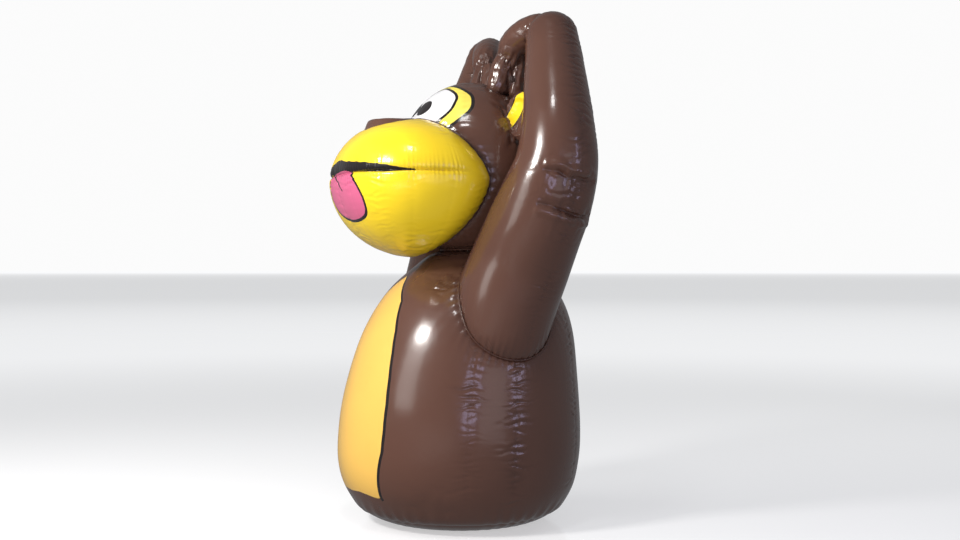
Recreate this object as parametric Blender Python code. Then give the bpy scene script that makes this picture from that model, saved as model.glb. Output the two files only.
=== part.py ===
"""Inflatable monkey: a sealed, air-filled figure on its rounded base, with both hands on its head."""

import math

import bmesh
import bpy
from mathutils import Matrix, Vector

# Body, a legless bell on a flat patch. Each station is height, front reach and back reach from the axis.
BODY_PATCH_RADIUS = 0.385
BODY_STATIONS = (
    (0.020, 0.480, 0.480),
    (0.070, 0.578, 0.572),
    (0.140, 0.632, 0.622),
    (0.209, 0.672, 0.656),
    (0.279, 0.695, 0.672),
    (0.349, 0.706, 0.684),
    (0.418, 0.708, 0.693),
    (0.530, 0.701, 0.697),
    (0.661, 0.684, 0.692),
    (0.800, 0.652, 0.684),
    (0.939, 0.610, 0.674),
    (1.078, 0.556, 0.656),
    (1.218, 0.480, 0.618),
    (1.340, 0.388, 0.550),
    (1.450, 0.262, 0.440),
    (1.530, 0.150, 0.330),
)
BODY_TOP_HEIGHT = 1.600
BODY_WIDTH_SHARE = 1.00
BODY_SEGMENTS = 40

# Head
HEAD_CENTRE_HEIGHT = 2.010
HEAD_CENTRE_BACK = 0.074
HEAD_WIDTH = 0.860
HEAD_DEPTH = 0.880
HEAD_HEIGHT = 1.020
HEAD_SEGMENTS = 32
HEAD_ROWS = 16

# Muzzle, blunt in plan and above, with the widest level higher than half way, and a low rise for the nose
MUZZLE_WIDEST_DROP = 0.080
MUZZLE_WIDEST_HEIGHT = HEAD_CENTRE_HEIGHT - MUZZLE_WIDEST_DROP
MUZZLE_CENTRE_FRONT = 0.304
MUZZLE_WIDTH = 1.100
MUZZLE_DEPTH = 0.870
MUZZLE_ABOVE = 0.360
MUZZLE_BELOW = 0.425
MUZZLE_PLAN_POWER = 2.40
MUZZLE_UPPER_POWER = 2.15
MUZZLE_LOWER_POWER = 1.90
MUZZLE_BACK_POWER = 1.40
MUZZLE_SEGMENTS = 40
MUZZLE_ROWS = 18
MOUTH_SEAM_RISE = 0.032
MOUTH_SEAM_HEIGHT = MUZZLE_WIDEST_HEIGHT + MOUTH_SEAM_RISE
MOUTH_SEAM_DEPTH = 0.014
MOUTH_SEAM_HALF_HEIGHT = 0.022
NOSE_FRONT = 0.430
NOSE_HALF_WIDTH = 0.190
NOSE_HALF_DEPTH = 0.140
NOSE_BELOW_TOP = 0.004
NOSE_EDGE_SHARE = 0.35

# Ears, round cushions facing forwards and a little outwards
EAR_DIAMETER = 0.290
EAR_THICKNESS = 0.110
EAR_HOLLOW_DEPTH = 0.022
EAR_OUT = 0.440
EAR_BACK = 0.208
EAR_RISE = 0.270
EAR_HEIGHT = HEAD_CENTRE_HEIGHT + EAR_RISE
EAR_TURN_DEGREES = 12.0
EAR_SEGMENTS = 20

# Arms, from the shoulder to a top that stands over the head. Each station is distance out from the middle,
# distance back, rise above the shoulder and radius of the sleeve.
SHOULDER_HEIGHT = 1.115
ARM_TOP_RISE = 0.721
ARM_PATH = (
    (0.420, 0.066, 0.000, 0.277),
    (0.450, 0.102, 0.170, 0.281),
    (0.495, 0.154, 0.345, 0.276),
    (0.585, 0.198, 0.540, 0.264),
    (0.665, 0.247, 0.733, 0.247),
    (0.700, 0.276, 0.891, 0.223),
    (0.680, 0.293, 1.071, 0.200),
    (0.605, 0.323, 1.262, 0.181),
    (0.510, 0.356, 1.454, 0.163),
    (0.430, 0.380, 1.616, 0.148),
)
ARM_STRETCH = (HEAD_CENTRE_HEIGHT + ARM_TOP_RISE - SHOULDER_HEIGHT) / ARM_PATH[-1][2]
ARM_STATIONS = tuple(
    (out, back, SHOULDER_HEIGHT + ARM_STRETCH * rise, radius) for out, back, rise, radius in ARM_PATH
)
ARM_SEGMENTS = 24
ARM_STEPS_PER_STATION = 2
ELBOW_CREASE_DEPTH = 0.016
ELBOW_CREASE_HALF_WIDTH = 0.022
ELBOW_LOWER_CREASE_STATION = 3.60
ELBOW_UPPER_CREASE_STATION = 4.60
ELBOW_CREASE_TURN_DEGREES = 115.0

# Wrist, a narrower sleeve mitred into the end of the arm. Heights here and in the hand are above the
# head's centre.
WRIST_STATIONS = (
    (0.425, 0.378, 0.745, 0.100),
    (0.345, 0.338, 0.775, 0.095),
    (0.262, 0.285, 0.755, 0.090),
    (0.195, 0.250, 0.702, 0.086),
    (0.165, 0.238, 0.630, 0.080),
)
WRIST_SEGMENTS = 16

# Hand: a palm and fingers, each finger from its knuckle to its tip
PALM_OUT = 0.165
PALM_BACK = 0.240
PALM_RISE = 0.550
PALM_THICKNESS = 0.130
PALM_DEPTH = 0.190
PALM_TALL = 0.240
FINGERS = (
    (0.165, 0.240, 0.680, 0.150, 0.172, 0.470, 0.070),
    (0.178, 0.295, 0.670, 0.182, 0.268, 0.445, 0.060),
    (0.178, 0.348, 0.640, 0.188, 0.362, 0.420, 0.056),
    (0.110, 0.235, 0.640, 0.045, 0.215, 0.500, 0.056),
)
RIGHT_HAND_DROP = 0.030
FINGER_SEGMENTS = 12

# Inflation valve, let into the outer side of the left palm
VALVE_FLANGE_DIAMETER = 0.040
VALVE_FLANGE_THICKNESS = 0.005
VALVE_CAP_DIAMETER = 0.026
VALVE_CAP_HEIGHT = 0.007
VALVE_BELOW_PALM = 0.040
VALVE_AHEAD_OF_PALM = 0.008
VALVE_OUT_FROM_PALM = 0.057
VALVE_HEIGHT = HEAD_CENTRE_HEIGHT + PALM_RISE - VALVE_BELOW_PALM
VALVE_BACK = PALM_BACK - VALVE_AHEAD_OF_PALM
VALVE_OUT = PALM_OUT + VALVE_OUT_FROM_PALM
VALVE_CLEARANCE = 0.0003
VALVE_SEGMENTS = 24


def clear_scene():
    """Removes whatever the startup scene holds."""
    for thing in list(bpy.data.objects):
        bpy.data.objects.remove(thing, do_unlink=True)
    for mesh in list(bpy.data.meshes):
        bpy.data.meshes.remove(mesh)


def material(name, colour, roughness):
    """A plain material for one object."""
    made = bpy.data.materials.new(name)
    made.use_nodes = True
    shader = made.node_tree.nodes["Principled BSDF"]
    shader.inputs["Base Color"].default_value = (*colour, 1.0)
    shader.inputs["Roughness"].default_value = roughness
    return made


def new_object(name, bm):
    """Turns a bmesh into an object with its faces outwards."""
    bmesh.ops.recalc_face_normals(bm, faces=bm.faces)
    mesh = bpy.data.meshes.new(name)
    bm.to_mesh(mesh)
    bm.free()
    for polygon in mesh.polygons:
        polygon.use_smooth = True
    made = bpy.data.objects.new(name, mesh)
    bpy.context.scene.collection.objects.link(made)
    return made


def skin(name, rings, start=None, end=None):
    """Closes a row of rings into one solid, with a point or a flat face at each end."""
    bm = bmesh.new()
    rows = [[bm.verts.new(point) for point in ring] for ring in rings]
    count = len(rows[0])
    for lower, upper in zip(rows, rows[1:]):
        for index in range(count):
            following = (index + 1) % count
            bm.faces.new((lower[index], lower[following], upper[following], upper[index]))
    for row, tip in ((rows[0], start), (rows[-1], end)):
        if tip is None:
            bm.faces.new(row)
            continue
        point = bm.verts.new(tip)
        for index in range(count):
            bm.faces.new((row[index], row[(index + 1) % count], point))
    return new_object(name, bm)


def blend(before, first, second, after, share):
    """A point on the smooth curve from first to second, led by their neighbours."""
    square = share * share
    cube = square * share
    return tuple(
        0.5 * (2.0 * b + (c - a) * share + (2.0 * a - 5.0 * b + 4.0 * c - d) * square
               + (3.0 * b - a - 3.0 * c + d) * cube)
        for a, b, c, d in zip(before, first, second, after)
    )


def along(stations, place):
    """The station at a place along the row, where 1.5 is half way from the second to the third."""
    last = len(stations) - 1
    index = min(int(place), last - 1)
    first = stations[index]
    second = stations[index + 1]
    before = stations[index - 1] if index > 0 else tuple(2 * a - b for a, b in zip(first, second))
    after = stations[index + 2] if index + 2 <= last else tuple(2 * b - a for a, b in zip(first, second))
    return blend(before, first, second, after, place - index)


def smooth_bump(distance, half_width):
    """One at the middle, falling smoothly to nothing at the half width."""
    if abs(distance) >= half_width:
        return 0.0
    return 0.5 + 0.5 * math.cos(math.pi * distance / half_width)


def superellipse(angle, power):
    """A point on a blunt unit circle."""
    cosine = math.cos(angle)
    sine = math.sin(angle)
    return (
        math.copysign(abs(cosine) ** (2.0 / power), cosine),
        math.copysign(abs(sine) ** (2.0 / power), sine),
    )


def make_body():
    """The bell of the body, round in plan, with a flat patch underneath."""
    rings = []
    stations = [(0.0, BODY_PATCH_RADIUS, BODY_PATCH_RADIUS), *BODY_STATIONS]
    for height, front, back in stations:
        middle = (back - front) / 2.0
        radius = (back + front) / 2.0
        rings.append([
            (radius * BODY_WIDTH_SHARE * math.sin(turn), middle - radius * math.cos(turn), height)
            for turn in (2.0 * math.pi * step / BODY_SEGMENTS for step in range(BODY_SEGMENTS))
        ])
    height, front, back = BODY_STATIONS[-1]
    return skin("figure", rings, None, (0.0, (back - front) / 2.0, BODY_TOP_HEIGHT))


def make_head():
    """The head, an upright egg."""
    rings = []
    for row in range(1, HEAD_ROWS):
        tilt = math.pi * row / HEAD_ROWS
        height = HEAD_CENTRE_HEIGHT - HEAD_HEIGHT / 2.0 * math.cos(tilt)
        reach = math.sin(tilt)
        rings.append([
            (
                HEAD_WIDTH / 2.0 * reach * math.sin(turn),
                HEAD_CENTRE_BACK - HEAD_DEPTH / 2.0 * reach * math.cos(turn),
                height,
            )
            for turn in (2.0 * math.pi * step / HEAD_SEGMENTS for step in range(HEAD_SEGMENTS))
        ])
    bottom = (0.0, HEAD_CENTRE_BACK, HEAD_CENTRE_HEIGHT - HEAD_HEIGHT / 2.0)
    top = (0.0, HEAD_CENTRE_BACK, HEAD_CENTRE_HEIGHT + HEAD_HEIGHT / 2.0)
    return skin("head_form", rings, bottom, top)


def muzzle_reach(height, back=False):
    """The share of the muzzle's full plan at one height, before the mouth seam."""
    if height > MUZZLE_WIDEST_HEIGHT:
        share = (height - MUZZLE_WIDEST_HEIGHT) / MUZZLE_ABOVE
        power = MUZZLE_UPPER_POWER
    else:
        share = (MUZZLE_WIDEST_HEIGHT - height) / MUZZLE_BELOW
        power = MUZZLE_LOWER_POWER
    if back:
        power = MUZZLE_BACK_POWER
    return max(0.0, 1.0 - share ** power) ** (1.0 / power)


def nose_rise(across, front, height):
    """How far the nose, a level cushion, lifts one point of the muzzle's sloping top."""
    if height < MUZZLE_WIDEST_HEIGHT:
        return 0.0
    apart = math.hypot(across / NOSE_HALF_WIDTH, (front - NOSE_FRONT) / NOSE_HALF_DEPTH)
    level = MUZZLE_WIDEST_HEIGHT + MUZZLE_ABOVE - NOSE_BELOW_TOP
    share = min(1.0, max(0.0, (1.0 - apart) / NOSE_EDGE_SHARE))
    return max(0.0, level - height) * share * share * (3.0 - 2.0 * share)


def make_muzzle():
    """The muzzle, with the mouth seam drawn in round its front."""
    heights = []
    for row in range(1, MUZZLE_ROWS):
        rise = -math.cos(math.pi * row / MUZZLE_ROWS)
        span = MUZZLE_ABOVE if rise > 0.0 else MUZZLE_BELOW
        heights.append(MUZZLE_WIDEST_HEIGHT + span * rise)
    seam = [MOUTH_SEAM_HEIGHT + MOUTH_SEAM_HALF_HEIGHT * part for part in (-1.0, 0.0, 1.0)]
    nearest = 1.6 * MOUTH_SEAM_HALF_HEIGHT
    heights = [height for height in heights if abs(height - MOUTH_SEAM_HEIGHT) > nearest]
    heights = sorted(heights + seam)
    rings = []
    for height in heights:
        reach = muzzle_reach(height)
        reach_back = muzzle_reach(height, True)
        groove = MOUTH_SEAM_DEPTH * smooth_bump(height - MOUTH_SEAM_HEIGHT, MOUTH_SEAM_HALF_HEIGHT)
        ring = []
        for step in range(MUZZLE_SEGMENTS):
            ahead, side = superellipse(2.0 * math.pi * step / MUZZLE_SEGMENTS, MUZZLE_PLAN_POWER)
            drawn = groove * min(1.0, max(0.0, ahead + 0.60))
            across = (MUZZLE_WIDTH / 2.0 * reach - drawn) * side
            deep = MUZZLE_DEPTH / 2.0 * (reach if ahead > 0.0 else reach_back)
            front = MUZZLE_CENTRE_FRONT + max(0.0, deep - drawn) * ahead
            ring.append((across, -front, height + nose_rise(across, front, height)))
        rings.append(ring)
    bottom = (0.0, -MUZZLE_CENTRE_FRONT, MUZZLE_WIDEST_HEIGHT - MUZZLE_BELOW)
    top = (0.0, -MUZZLE_CENTRE_FRONT, MUZZLE_WIDEST_HEIGHT + MUZZLE_ABOVE)
    return skin("muzzle_form", rings, bottom, top)


def make_ear(side):
    """A round cushion with a hollow front."""
    radius = EAR_DIAMETER / 2.0
    half = EAR_THICKNESS / 2.0
    profile = [
        (0.55 * radius, -half + 0.65 * EAR_HOLLOW_DEPTH),
        (0.76 * radius, -half),
        (0.92 * radius, -0.62 * half),
        (radius, 0.0),
        (0.94 * radius, 0.60 * half),
        (0.75 * radius, half * 0.90),
        (0.40 * radius, half),
    ]
    turn = math.radians(EAR_TURN_DEGREES) * side
    spin = Matrix.Rotation(turn, 3, "Z")
    centre = Vector((EAR_OUT * side, EAR_BACK, EAR_HEIGHT))
    rings = []
    for reach, depth in profile:
        rings.append([
            tuple(centre + spin @ Vector((reach * math.cos(angle), depth, reach * math.sin(angle))))
            for angle in (2.0 * math.pi * step / EAR_SEGMENTS for step in range(EAR_SEGMENTS))
        ])
    front = tuple(centre + spin @ Vector((0.0, -half + EAR_HOLLOW_DEPTH, 0.0)))
    back = tuple(centre + spin @ Vector((0.0, half, 0.0)))
    return skin(f"ear_form_{'left' if side > 0 else 'right'}", rings, front, back)


def sleeve_rings(stations, places, segments, side, crease=None):
    """Rings square to a path, turned as little as may be from one to the next, with a dome at each end."""
    samples = [along(stations, place) for place in places]
    centres = [Vector((side * out, back, height)) for out, back, height, _ in samples]
    radii = [sample[3] for sample in samples]
    count = len(centres)
    tangents = []
    for index in range(count):
        behind = centres[max(index - 1, 0)]
        ahead = centres[min(index + 1, count - 1)]
        tangents.append((ahead - behind).normalized())
    across = Vector((0.0, -1.0, 0.0))
    domes = (0.30, 0.62, 0.88)
    line = []
    for part in domes:
        offset = math.sqrt(1.0 - part * part)
        line.append((centres[0] - tangents[0] * radii[0] * offset, tangents[0], radii[0] * part, None))
    for centre, tangent, radius, place in zip(centres, tangents, radii, places):
        line.append((centre, tangent, radius, place))
    for part in reversed(domes):
        offset = math.sqrt(1.0 - part * part)
        line.append((centres[-1] + tangents[-1] * radii[-1] * offset, tangents[-1], radii[-1] * part, None))
    rings = []
    for centre, tangent, radius, place in line:
        across = (across - tangent * across.dot(tangent)).normalized()
        upward = tangent.cross(across) * side
        ring = []
        for step in range(segments):
            angle = 2.0 * math.pi * step / segments
            reach = radius
            if crease and place is not None:
                reach -= crease(place, angle)
            ring.append(tuple(centre + (across * math.cos(angle) + upward * math.sin(angle)) * reach))
        rings.append(ring)
    start = tuple(centres[0] - tangents[0] * radii[0])
    end = tuple(centres[-1] + tangents[-1] * radii[-1])
    return rings, start, end


def station_length():
    """Mean distance between the stations of the arm."""
    total = 0.0
    for first, second in zip(ARM_STATIONS, ARM_STATIONS[1:]):
        total += math.dist(first[:3], second[:3])
    return total / (len(ARM_STATIONS) - 1)


def elbow_crease(place, angle):
    """How far the skin is drawn in beside the elbow, on its outer side."""
    half = ELBOW_CREASE_HALF_WIDTH / station_length()
    outer = max(0.0, math.cos(angle - math.radians(ELBOW_CREASE_TURN_DEGREES))) ** 0.5
    drawn = smooth_bump(place - ELBOW_LOWER_CREASE_STATION, half)
    drawn += smooth_bump(place - ELBOW_UPPER_CREASE_STATION, half)
    return ELBOW_CREASE_DEPTH * drawn * outer


def make_arm(side):
    """The sleeve from the shoulder round the elbow to the top of the arm."""
    last = len(ARM_STATIONS) - 1
    half = ELBOW_CREASE_HALF_WIDTH / station_length()
    places = [step / ARM_STEPS_PER_STATION for step in range(last * ARM_STEPS_PER_STATION + 1)]
    for crease in (ELBOW_LOWER_CREASE_STATION, ELBOW_UPPER_CREASE_STATION):
        places = [place for place in places if abs(place - crease) > 1.6 * half]
        places += [crease - half, crease, crease + half]
    places.sort()
    rings, start, end = sleeve_rings(ARM_STATIONS, places, ARM_SEGMENTS, side, elbow_crease)
    return skin(f"arm_form_{'left' if side > 0 else 'right'}", rings, start, end)


def hand_level(side):
    """The level that a hand's heights are measured from. The right hand lies a little lower than the left."""
    return HEAD_CENTRE_HEIGHT - (RIGHT_HAND_DROP if side < 0.0 else 0.0)


def make_wrist(side):
    """The narrow sleeve from the top of the arm over to the hand."""
    last = len(WRIST_STATIONS) - 1
    drop = HEAD_CENTRE_HEIGHT - hand_level(side)
    stations = tuple(
        (out, back, HEAD_CENTRE_HEIGHT + rise - drop * min(1.0, index / 2.0), radius)
        for index, (out, back, rise, radius) in enumerate(WRIST_STATIONS)
    )
    places = [step / 2.0 for step in range(last * 2 + 1)]
    rings, start, end = sleeve_rings(stations, places, WRIST_SEGMENTS, side)
    return skin(f"wrist_form_{'left' if side > 0 else 'right'}", rings, start, end)


def make_palm(side):
    """The palm, a flattened cushion."""
    middle = hand_level(side) + PALM_RISE
    rows = 8
    rings = []
    for row in range(1, rows):
        tilt = math.pi * row / rows
        height = middle - PALM_TALL / 2.0 * math.cos(tilt)
        rings.append([
            (
                side * PALM_OUT + PALM_THICKNESS / 2.0 * math.sin(tilt) * math.sin(turn),
                PALM_BACK - PALM_DEPTH / 2.0 * math.sin(tilt) * math.cos(turn),
                height,
            )
            for turn in (2.0 * math.pi * step / 16 for step in range(16))
        ])
    bottom = (side * PALM_OUT, PALM_BACK, middle - PALM_TALL / 2.0)
    top = (side * PALM_OUT, PALM_BACK, middle + PALM_TALL / 2.0)
    return skin(f"palm_form_{'left' if side > 0 else 'right'}", rings, bottom, top)


def make_finger(side, number, sizes):
    """One finger, round at both ends."""
    out, back, rise, tip_out, tip_back, tip_rise, radius = sizes
    height = hand_level(side) + rise
    tip_height = hand_level(side) + tip_rise
    stations = (
        (out, back, height, radius),
        ((out + tip_out) / 2.0, (back + tip_back) / 2.0, (height + tip_height) / 2.0, radius * 1.06),
        (tip_out, tip_back, tip_height, radius),
    )
    rings, start, end = sleeve_rings(stations, (0.0, 1.0, 2.0), FINGER_SEGMENTS, side)
    return skin(f"finger_form_{'left' if side > 0 else 'right'}_{number}", rings, start, end)


def turned(name, profile, segments, start, end):
    """A solid of revolution about X, from a row of radius and distance out."""
    rings = []
    for radius, distance in profile:
        rings.append([
            (distance, radius * math.cos(angle), radius * math.sin(angle))
            for angle in (2.0 * math.pi * step / segments for step in range(segments))
        ])
    return skin(name, rings, start, end)


def make_valve():
    """The valve, a flange with its closed cap."""
    flange = VALVE_FLANGE_DIAMETER / 2.0
    cap = VALVE_CAP_DIAMETER / 2.0
    top = VALVE_FLANGE_THICKNESS + VALVE_CAP_HEIGHT
    profile = (
        (flange, 0.0),
        (flange, VALVE_FLANGE_THICKNESS * 0.7),
        (flange * 0.94, VALVE_FLANGE_THICKNESS),
        (cap, VALVE_FLANGE_THICKNESS),
        (cap, top - 0.0015),
        (cap - 0.0015, top),
    )
    made = turned("valve", profile, VALVE_SEGMENTS, None, None)
    made.data.transform(Matrix.Translation((VALVE_OUT, VALVE_BACK, VALVE_HEIGHT)))
    return made


def make_valve_seat():
    """The cutter that lets the flange into the palm."""
    radius = VALVE_FLANGE_DIAMETER / 2.0 + VALVE_CLEARANCE
    profile = ((radius, -VALVE_CLEARANCE), (radius, 0.060))
    made = turned("valve_seat_form", profile, VALVE_SEGMENTS, None, None)
    made.data.transform(Matrix.Translation((VALVE_OUT, VALVE_BACK, VALVE_HEIGHT)))
    return made


def combine(base, other, operation):
    """Adds one exact Boolean step, and hides the form that it uses."""
    step = base.modifiers.new(other.name, "BOOLEAN")
    step.operation = operation
    step.solver = "EXACT"
    step.object = other
    other.hide_render = True
    other.display_type = "WIRE"


def main():
    clear_scene()
    figure = make_body()
    figure.data.materials.append(material("skin_brown", (0.085, 0.035, 0.020), 0.15))
    forms = [make_head(), make_muzzle()]
    for side in (1.0, -1.0):
        forms.append(make_ear(side))
        forms.append(make_arm(side))
        forms.append(make_wrist(side))
        forms.append(make_palm(side))
        for number, sizes in enumerate(FINGERS):
            forms.append(make_finger(side, number + 1, sizes))
    for form in forms:
        combine(figure, form, "UNION")
    combine(figure, make_valve_seat(), "DIFFERENCE")
    valve = make_valve()
    valve.data.materials.append(material("valve_plastic", (0.30, 0.28, 0.27), 0.35))


main()
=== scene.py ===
"""Dresses the inflatable monkey in welded glossy sleeves with puckered seams and printed colours."""

import itertools
import math

import bpy
import numpy as np
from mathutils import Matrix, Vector


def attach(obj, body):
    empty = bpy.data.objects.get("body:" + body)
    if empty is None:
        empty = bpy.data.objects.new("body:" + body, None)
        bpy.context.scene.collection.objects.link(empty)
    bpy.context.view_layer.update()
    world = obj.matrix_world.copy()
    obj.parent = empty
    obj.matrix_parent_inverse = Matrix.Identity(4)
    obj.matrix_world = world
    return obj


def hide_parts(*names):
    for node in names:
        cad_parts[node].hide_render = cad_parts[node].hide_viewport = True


bl_info = {
    "name": "Inflatable monkey",
    "version": (1, 0, 0),
    "blender": (4, 5, 0),
    "location": "3D View > Sidebar > Monkey",
    "description": "Builds an air-filled monkey from welded, printed sleeves",
    "category": "Object",
}

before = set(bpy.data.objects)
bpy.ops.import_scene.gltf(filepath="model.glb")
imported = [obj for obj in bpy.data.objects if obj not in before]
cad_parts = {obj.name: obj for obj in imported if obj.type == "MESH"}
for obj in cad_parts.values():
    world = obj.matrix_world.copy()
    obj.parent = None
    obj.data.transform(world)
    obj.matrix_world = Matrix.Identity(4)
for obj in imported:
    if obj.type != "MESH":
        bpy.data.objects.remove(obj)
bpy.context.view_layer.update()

# Body, a legless bell on a flat patch. Each station is height, front reach and back reach from the axis.
BODY_PATCH_RADIUS = 0.385
BODY_STATIONS = (
    (0.020, 0.480, 0.480),
    (0.070, 0.578, 0.572),
    (0.140, 0.632, 0.622),
    (0.209, 0.672, 0.656),
    (0.279, 0.695, 0.672),
    (0.349, 0.706, 0.684),
    (0.418, 0.708, 0.693),
    (0.530, 0.701, 0.697),
    (0.661, 0.684, 0.692),
    (0.800, 0.652, 0.684),
    (0.939, 0.610, 0.674),
    (1.078, 0.556, 0.656),
    (1.218, 0.480, 0.618),
    (1.340, 0.388, 0.550),
    (1.450, 0.262, 0.440),
    (1.530, 0.150, 0.330),
)
BODY_TOP_HEIGHT = 1.600
BODY_SEAMS_DEGREES = (72.0, 94.0, 136.0, 180.0, 224.0, 266.0, 288.0)

# Belly panel, its half width at each height
BELLY_EDGE = (
    (0.205, 0.315),
    (0.457, 0.368),
    (0.569, 0.369),
    (0.706, 0.361),
    (0.843, 0.338),
    (0.980, 0.304),
    (1.097, 0.264),
    (1.258, 0.176),
    (1.373, 0.040),
    (1.400, 0.000),
)

# Head
HEAD_CENTRE = (0.0, 0.074, 2.010)
HEAD_RADII = (0.430, 0.440, 0.510)
HEAD_SEAMS_DEGREES = (62.0, 118.0, 180.0, 242.0, 298.0)

# Muzzle
MUZZLE_WIDEST_HEIGHT = 1.930
MUZZLE_CENTRE_FRONT = 0.304
MUZZLE_WIDTH = 1.100
MUZZLE_DEPTH = 0.870
MUZZLE_ABOVE = 0.360
MUZZLE_BELOW = 0.425
MUZZLE_PLAN_POWER = 2.40
MUZZLE_UPPER_POWER = 2.15
MUZZLE_LOWER_POWER = 1.90
MUZZLE_BACK_POWER = 1.40
MUZZLE_SEAMS_DEGREES = (0.0, 24.0, 48.0, 72.0, 95.0, 117.0, 139.0, 160.0)
MOUTH_SEAM_HEIGHT = 1.962
NOSE_FRONT = 0.430
NOSE_HALF_WIDTH = 0.190
NOSE_HALF_DEPTH = 0.140
NOSE_BELOW_TOP = 0.014
NOSE_EDGE_SHARE = 0.18

# Ears
EAR_RADIUS = 0.145
EAR_THICKNESS = 0.110
EAR_HOLLOW_DEPTH = 0.022
EAR_CENTRE = (0.440, 0.208, 2.280)
EAR_TURN_DEGREES = 12.0
EAR_LEAF_MIDDLE = (-0.026, 0.034)
EAR_LEAF_HALF_WIDTH = 0.058
EAR_LEAF_HALF_HEIGHT = 0.112
EAR_LEAF_SLANT = 0.80

# Arms. Each station is distance out from the middle, distance back, height and radius of the sleeve.
ARM_STATIONS = (
    (0.420, 0.066, 1.115, 0.277),
    (0.450, 0.102, 1.285, 0.281),
    (0.495, 0.154, 1.460, 0.276),
    (0.585, 0.198, 1.655, 0.264),
    (0.665, 0.247, 1.848, 0.247),
    (0.700, 0.276, 2.006, 0.223),
    (0.680, 0.293, 2.186, 0.200),
    (0.605, 0.323, 2.377, 0.181),
    (0.510, 0.356, 2.569, 0.163),
    (0.430, 0.380, 2.731, 0.148),
)
ARM_SEAMS_DEGREES = (102.0, 158.0, 232.0, 318.0)
ELBOW_CREASES = ((3.84, 104.0, 50.0), (4.66, 92.0, 44.0))
ELBOW_FACET_TURN_DEGREES = 98.0

# Wrists and hands
WRIST_STATIONS = (
    (0.425, 0.378, 2.755, 0.100),
    (0.345, 0.338, 2.785, 0.095),
    (0.262, 0.285, 2.765, 0.090),
    (0.195, 0.250, 2.712, 0.086),
    (0.165, 0.238, 2.640, 0.080),
)
PALM_CENTRE = (0.165, 0.240, 2.560)
PALM_RADII = (0.065, 0.095, 0.120)
FINGERS = (
    (0.165, 0.240, 2.690, 0.150, 0.172, 2.480, 0.070),
    (0.178, 0.295, 2.680, 0.182, 0.268, 2.455, 0.060),
    (0.178, 0.348, 2.650, 0.188, 0.362, 2.430, 0.056),
    (0.110, 0.235, 2.650, 0.045, 0.215, 2.510, 0.056),
)
RIGHT_HAND_DROP = 0.030

# Printed eyes, as the turn round the head in degrees from the front, and the height
PUPIL_TURN = 11.0
PUPIL_HALF_TURN = 11.5
PUPIL_HEIGHT = 2.350
PUPIL_HALF_HEIGHT = 0.043
EYE_WHITE = (
    (0.0, 2.458),
    (16.0, 2.468),
    (31.0, 2.456),
    (44.0, 2.431),
    (50.0, 2.400),
    (49.8, 2.365),
    (47.5, 2.322),
    (40.8, 2.276),
    (30.0, 2.230),
    (14.0, 2.205),
    (0.0, 2.200),
)
EYE_SURROUND = (
    (0.0, 2.484),
    (18.0, 2.487),
    (43.0, 2.470),
    (59.0, 2.442),
    (67.0, 2.412),
    (68.8, 2.374),
    (66.7, 2.325),
    (58.5, 2.272),
    (45.0, 2.205),
    (28.0, 2.150),
    (0.0, 2.130),
)
EYE_TURN_RADIUS = 0.320

# Printed mouth and tongue, across the figure and up
MOUTH_UPPER_EDGE = (
    (0.0, 2.044),
    (0.118, 2.028),
    (0.256, 2.016),
    (0.357, 2.003),
    (0.436, 1.990),
    (0.520, 1.964),
)
MOUTH_LOWER_EDGE = ((0.0, 1.980), (0.188, 1.965), (0.348, 1.956), (0.432, 1.951), (0.520, 1.957))
MOUTH_HALF_WIDTH = 0.515
MOUTH_BACK = -0.160
TONGUE_BACK = -0.450
TONGUE = (
    (0.165, 1.974),
    (0.215, 1.936),
    (0.262, 1.880),
    (0.283, 1.815),
    (0.262, 1.750),
    (0.195, 1.714),
    (0.060, 1.702),
    (-0.075, 1.732),
    (-0.158, 1.794),
    (-0.192, 1.866),
    (-0.178, 1.930),
    (-0.115, 1.970),
    (0.000, 1.980),
    (0.090, 1.984),
)
TONGUE_GROOVE = ((-0.100, 1.962), (-0.050, 1.948), (0.015, 1.915), (0.072, 1.866))

# Half the width of each printed line, and of the black band at the muzzle's rear edge
LINE_HALF_WIDTHS = {
    "belly": 0.0085,
    "eye surround": 0.0098,
    "eye white": 0.0085,
    "tongue": 0.0075,
    "groove": 0.0050,
    "ear": 0.0040,
    "muzzle rear": 0.0140,
}

# Spots where the skin crinkles, as place and reach
SHOULDER_CRINKLE = ((0.34, -0.20, 1.36), (0.13, 0.14, 0.085))
SHOULDER_CRINKLE_DEPTH = 0.017
FOOT_GATHER = ((0.50, -0.37, 0.19), (0.20, 0.20, 0.13))
FOOT_GATHER_DEPTH = 0.006

# Folds round the foot, in the mouth's seam and on the hands
FOOT_FOLD_HEIGHT = 0.0045
FOOT_FOLDS_ROUND = 46.0
FOOT_PINCH_HEIGHT = 0.052
FOOT_PINCH_DEPTH = 0.006
MOUTH_FOLD_HEIGHT = 0.0044
MOUTH_FOLD_PITCH = 0.024
MOUTH_GROOVE_DEPTH = 0.020
HAND_FOLD_HEIGHT = 0.0035
HAND_PINCH_DEPTH = 0.008
HAND_CRINKLE_DEPTH = 0.009
HAND_REST_DEPTH = 0.007

# Rows and columns of each skin
BODY_GRID = (332, 281)
HEAD_GRID = (152, 290)
MUZZLE_GRID = (216, 421)
EAR_GRID = (64, 120)
ARM_GRID = (350, 208)
WRIST_GRID = (88, 96)
PALM_GRID = (50, 80)
FINGER_GRID = (46, 64)

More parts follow.
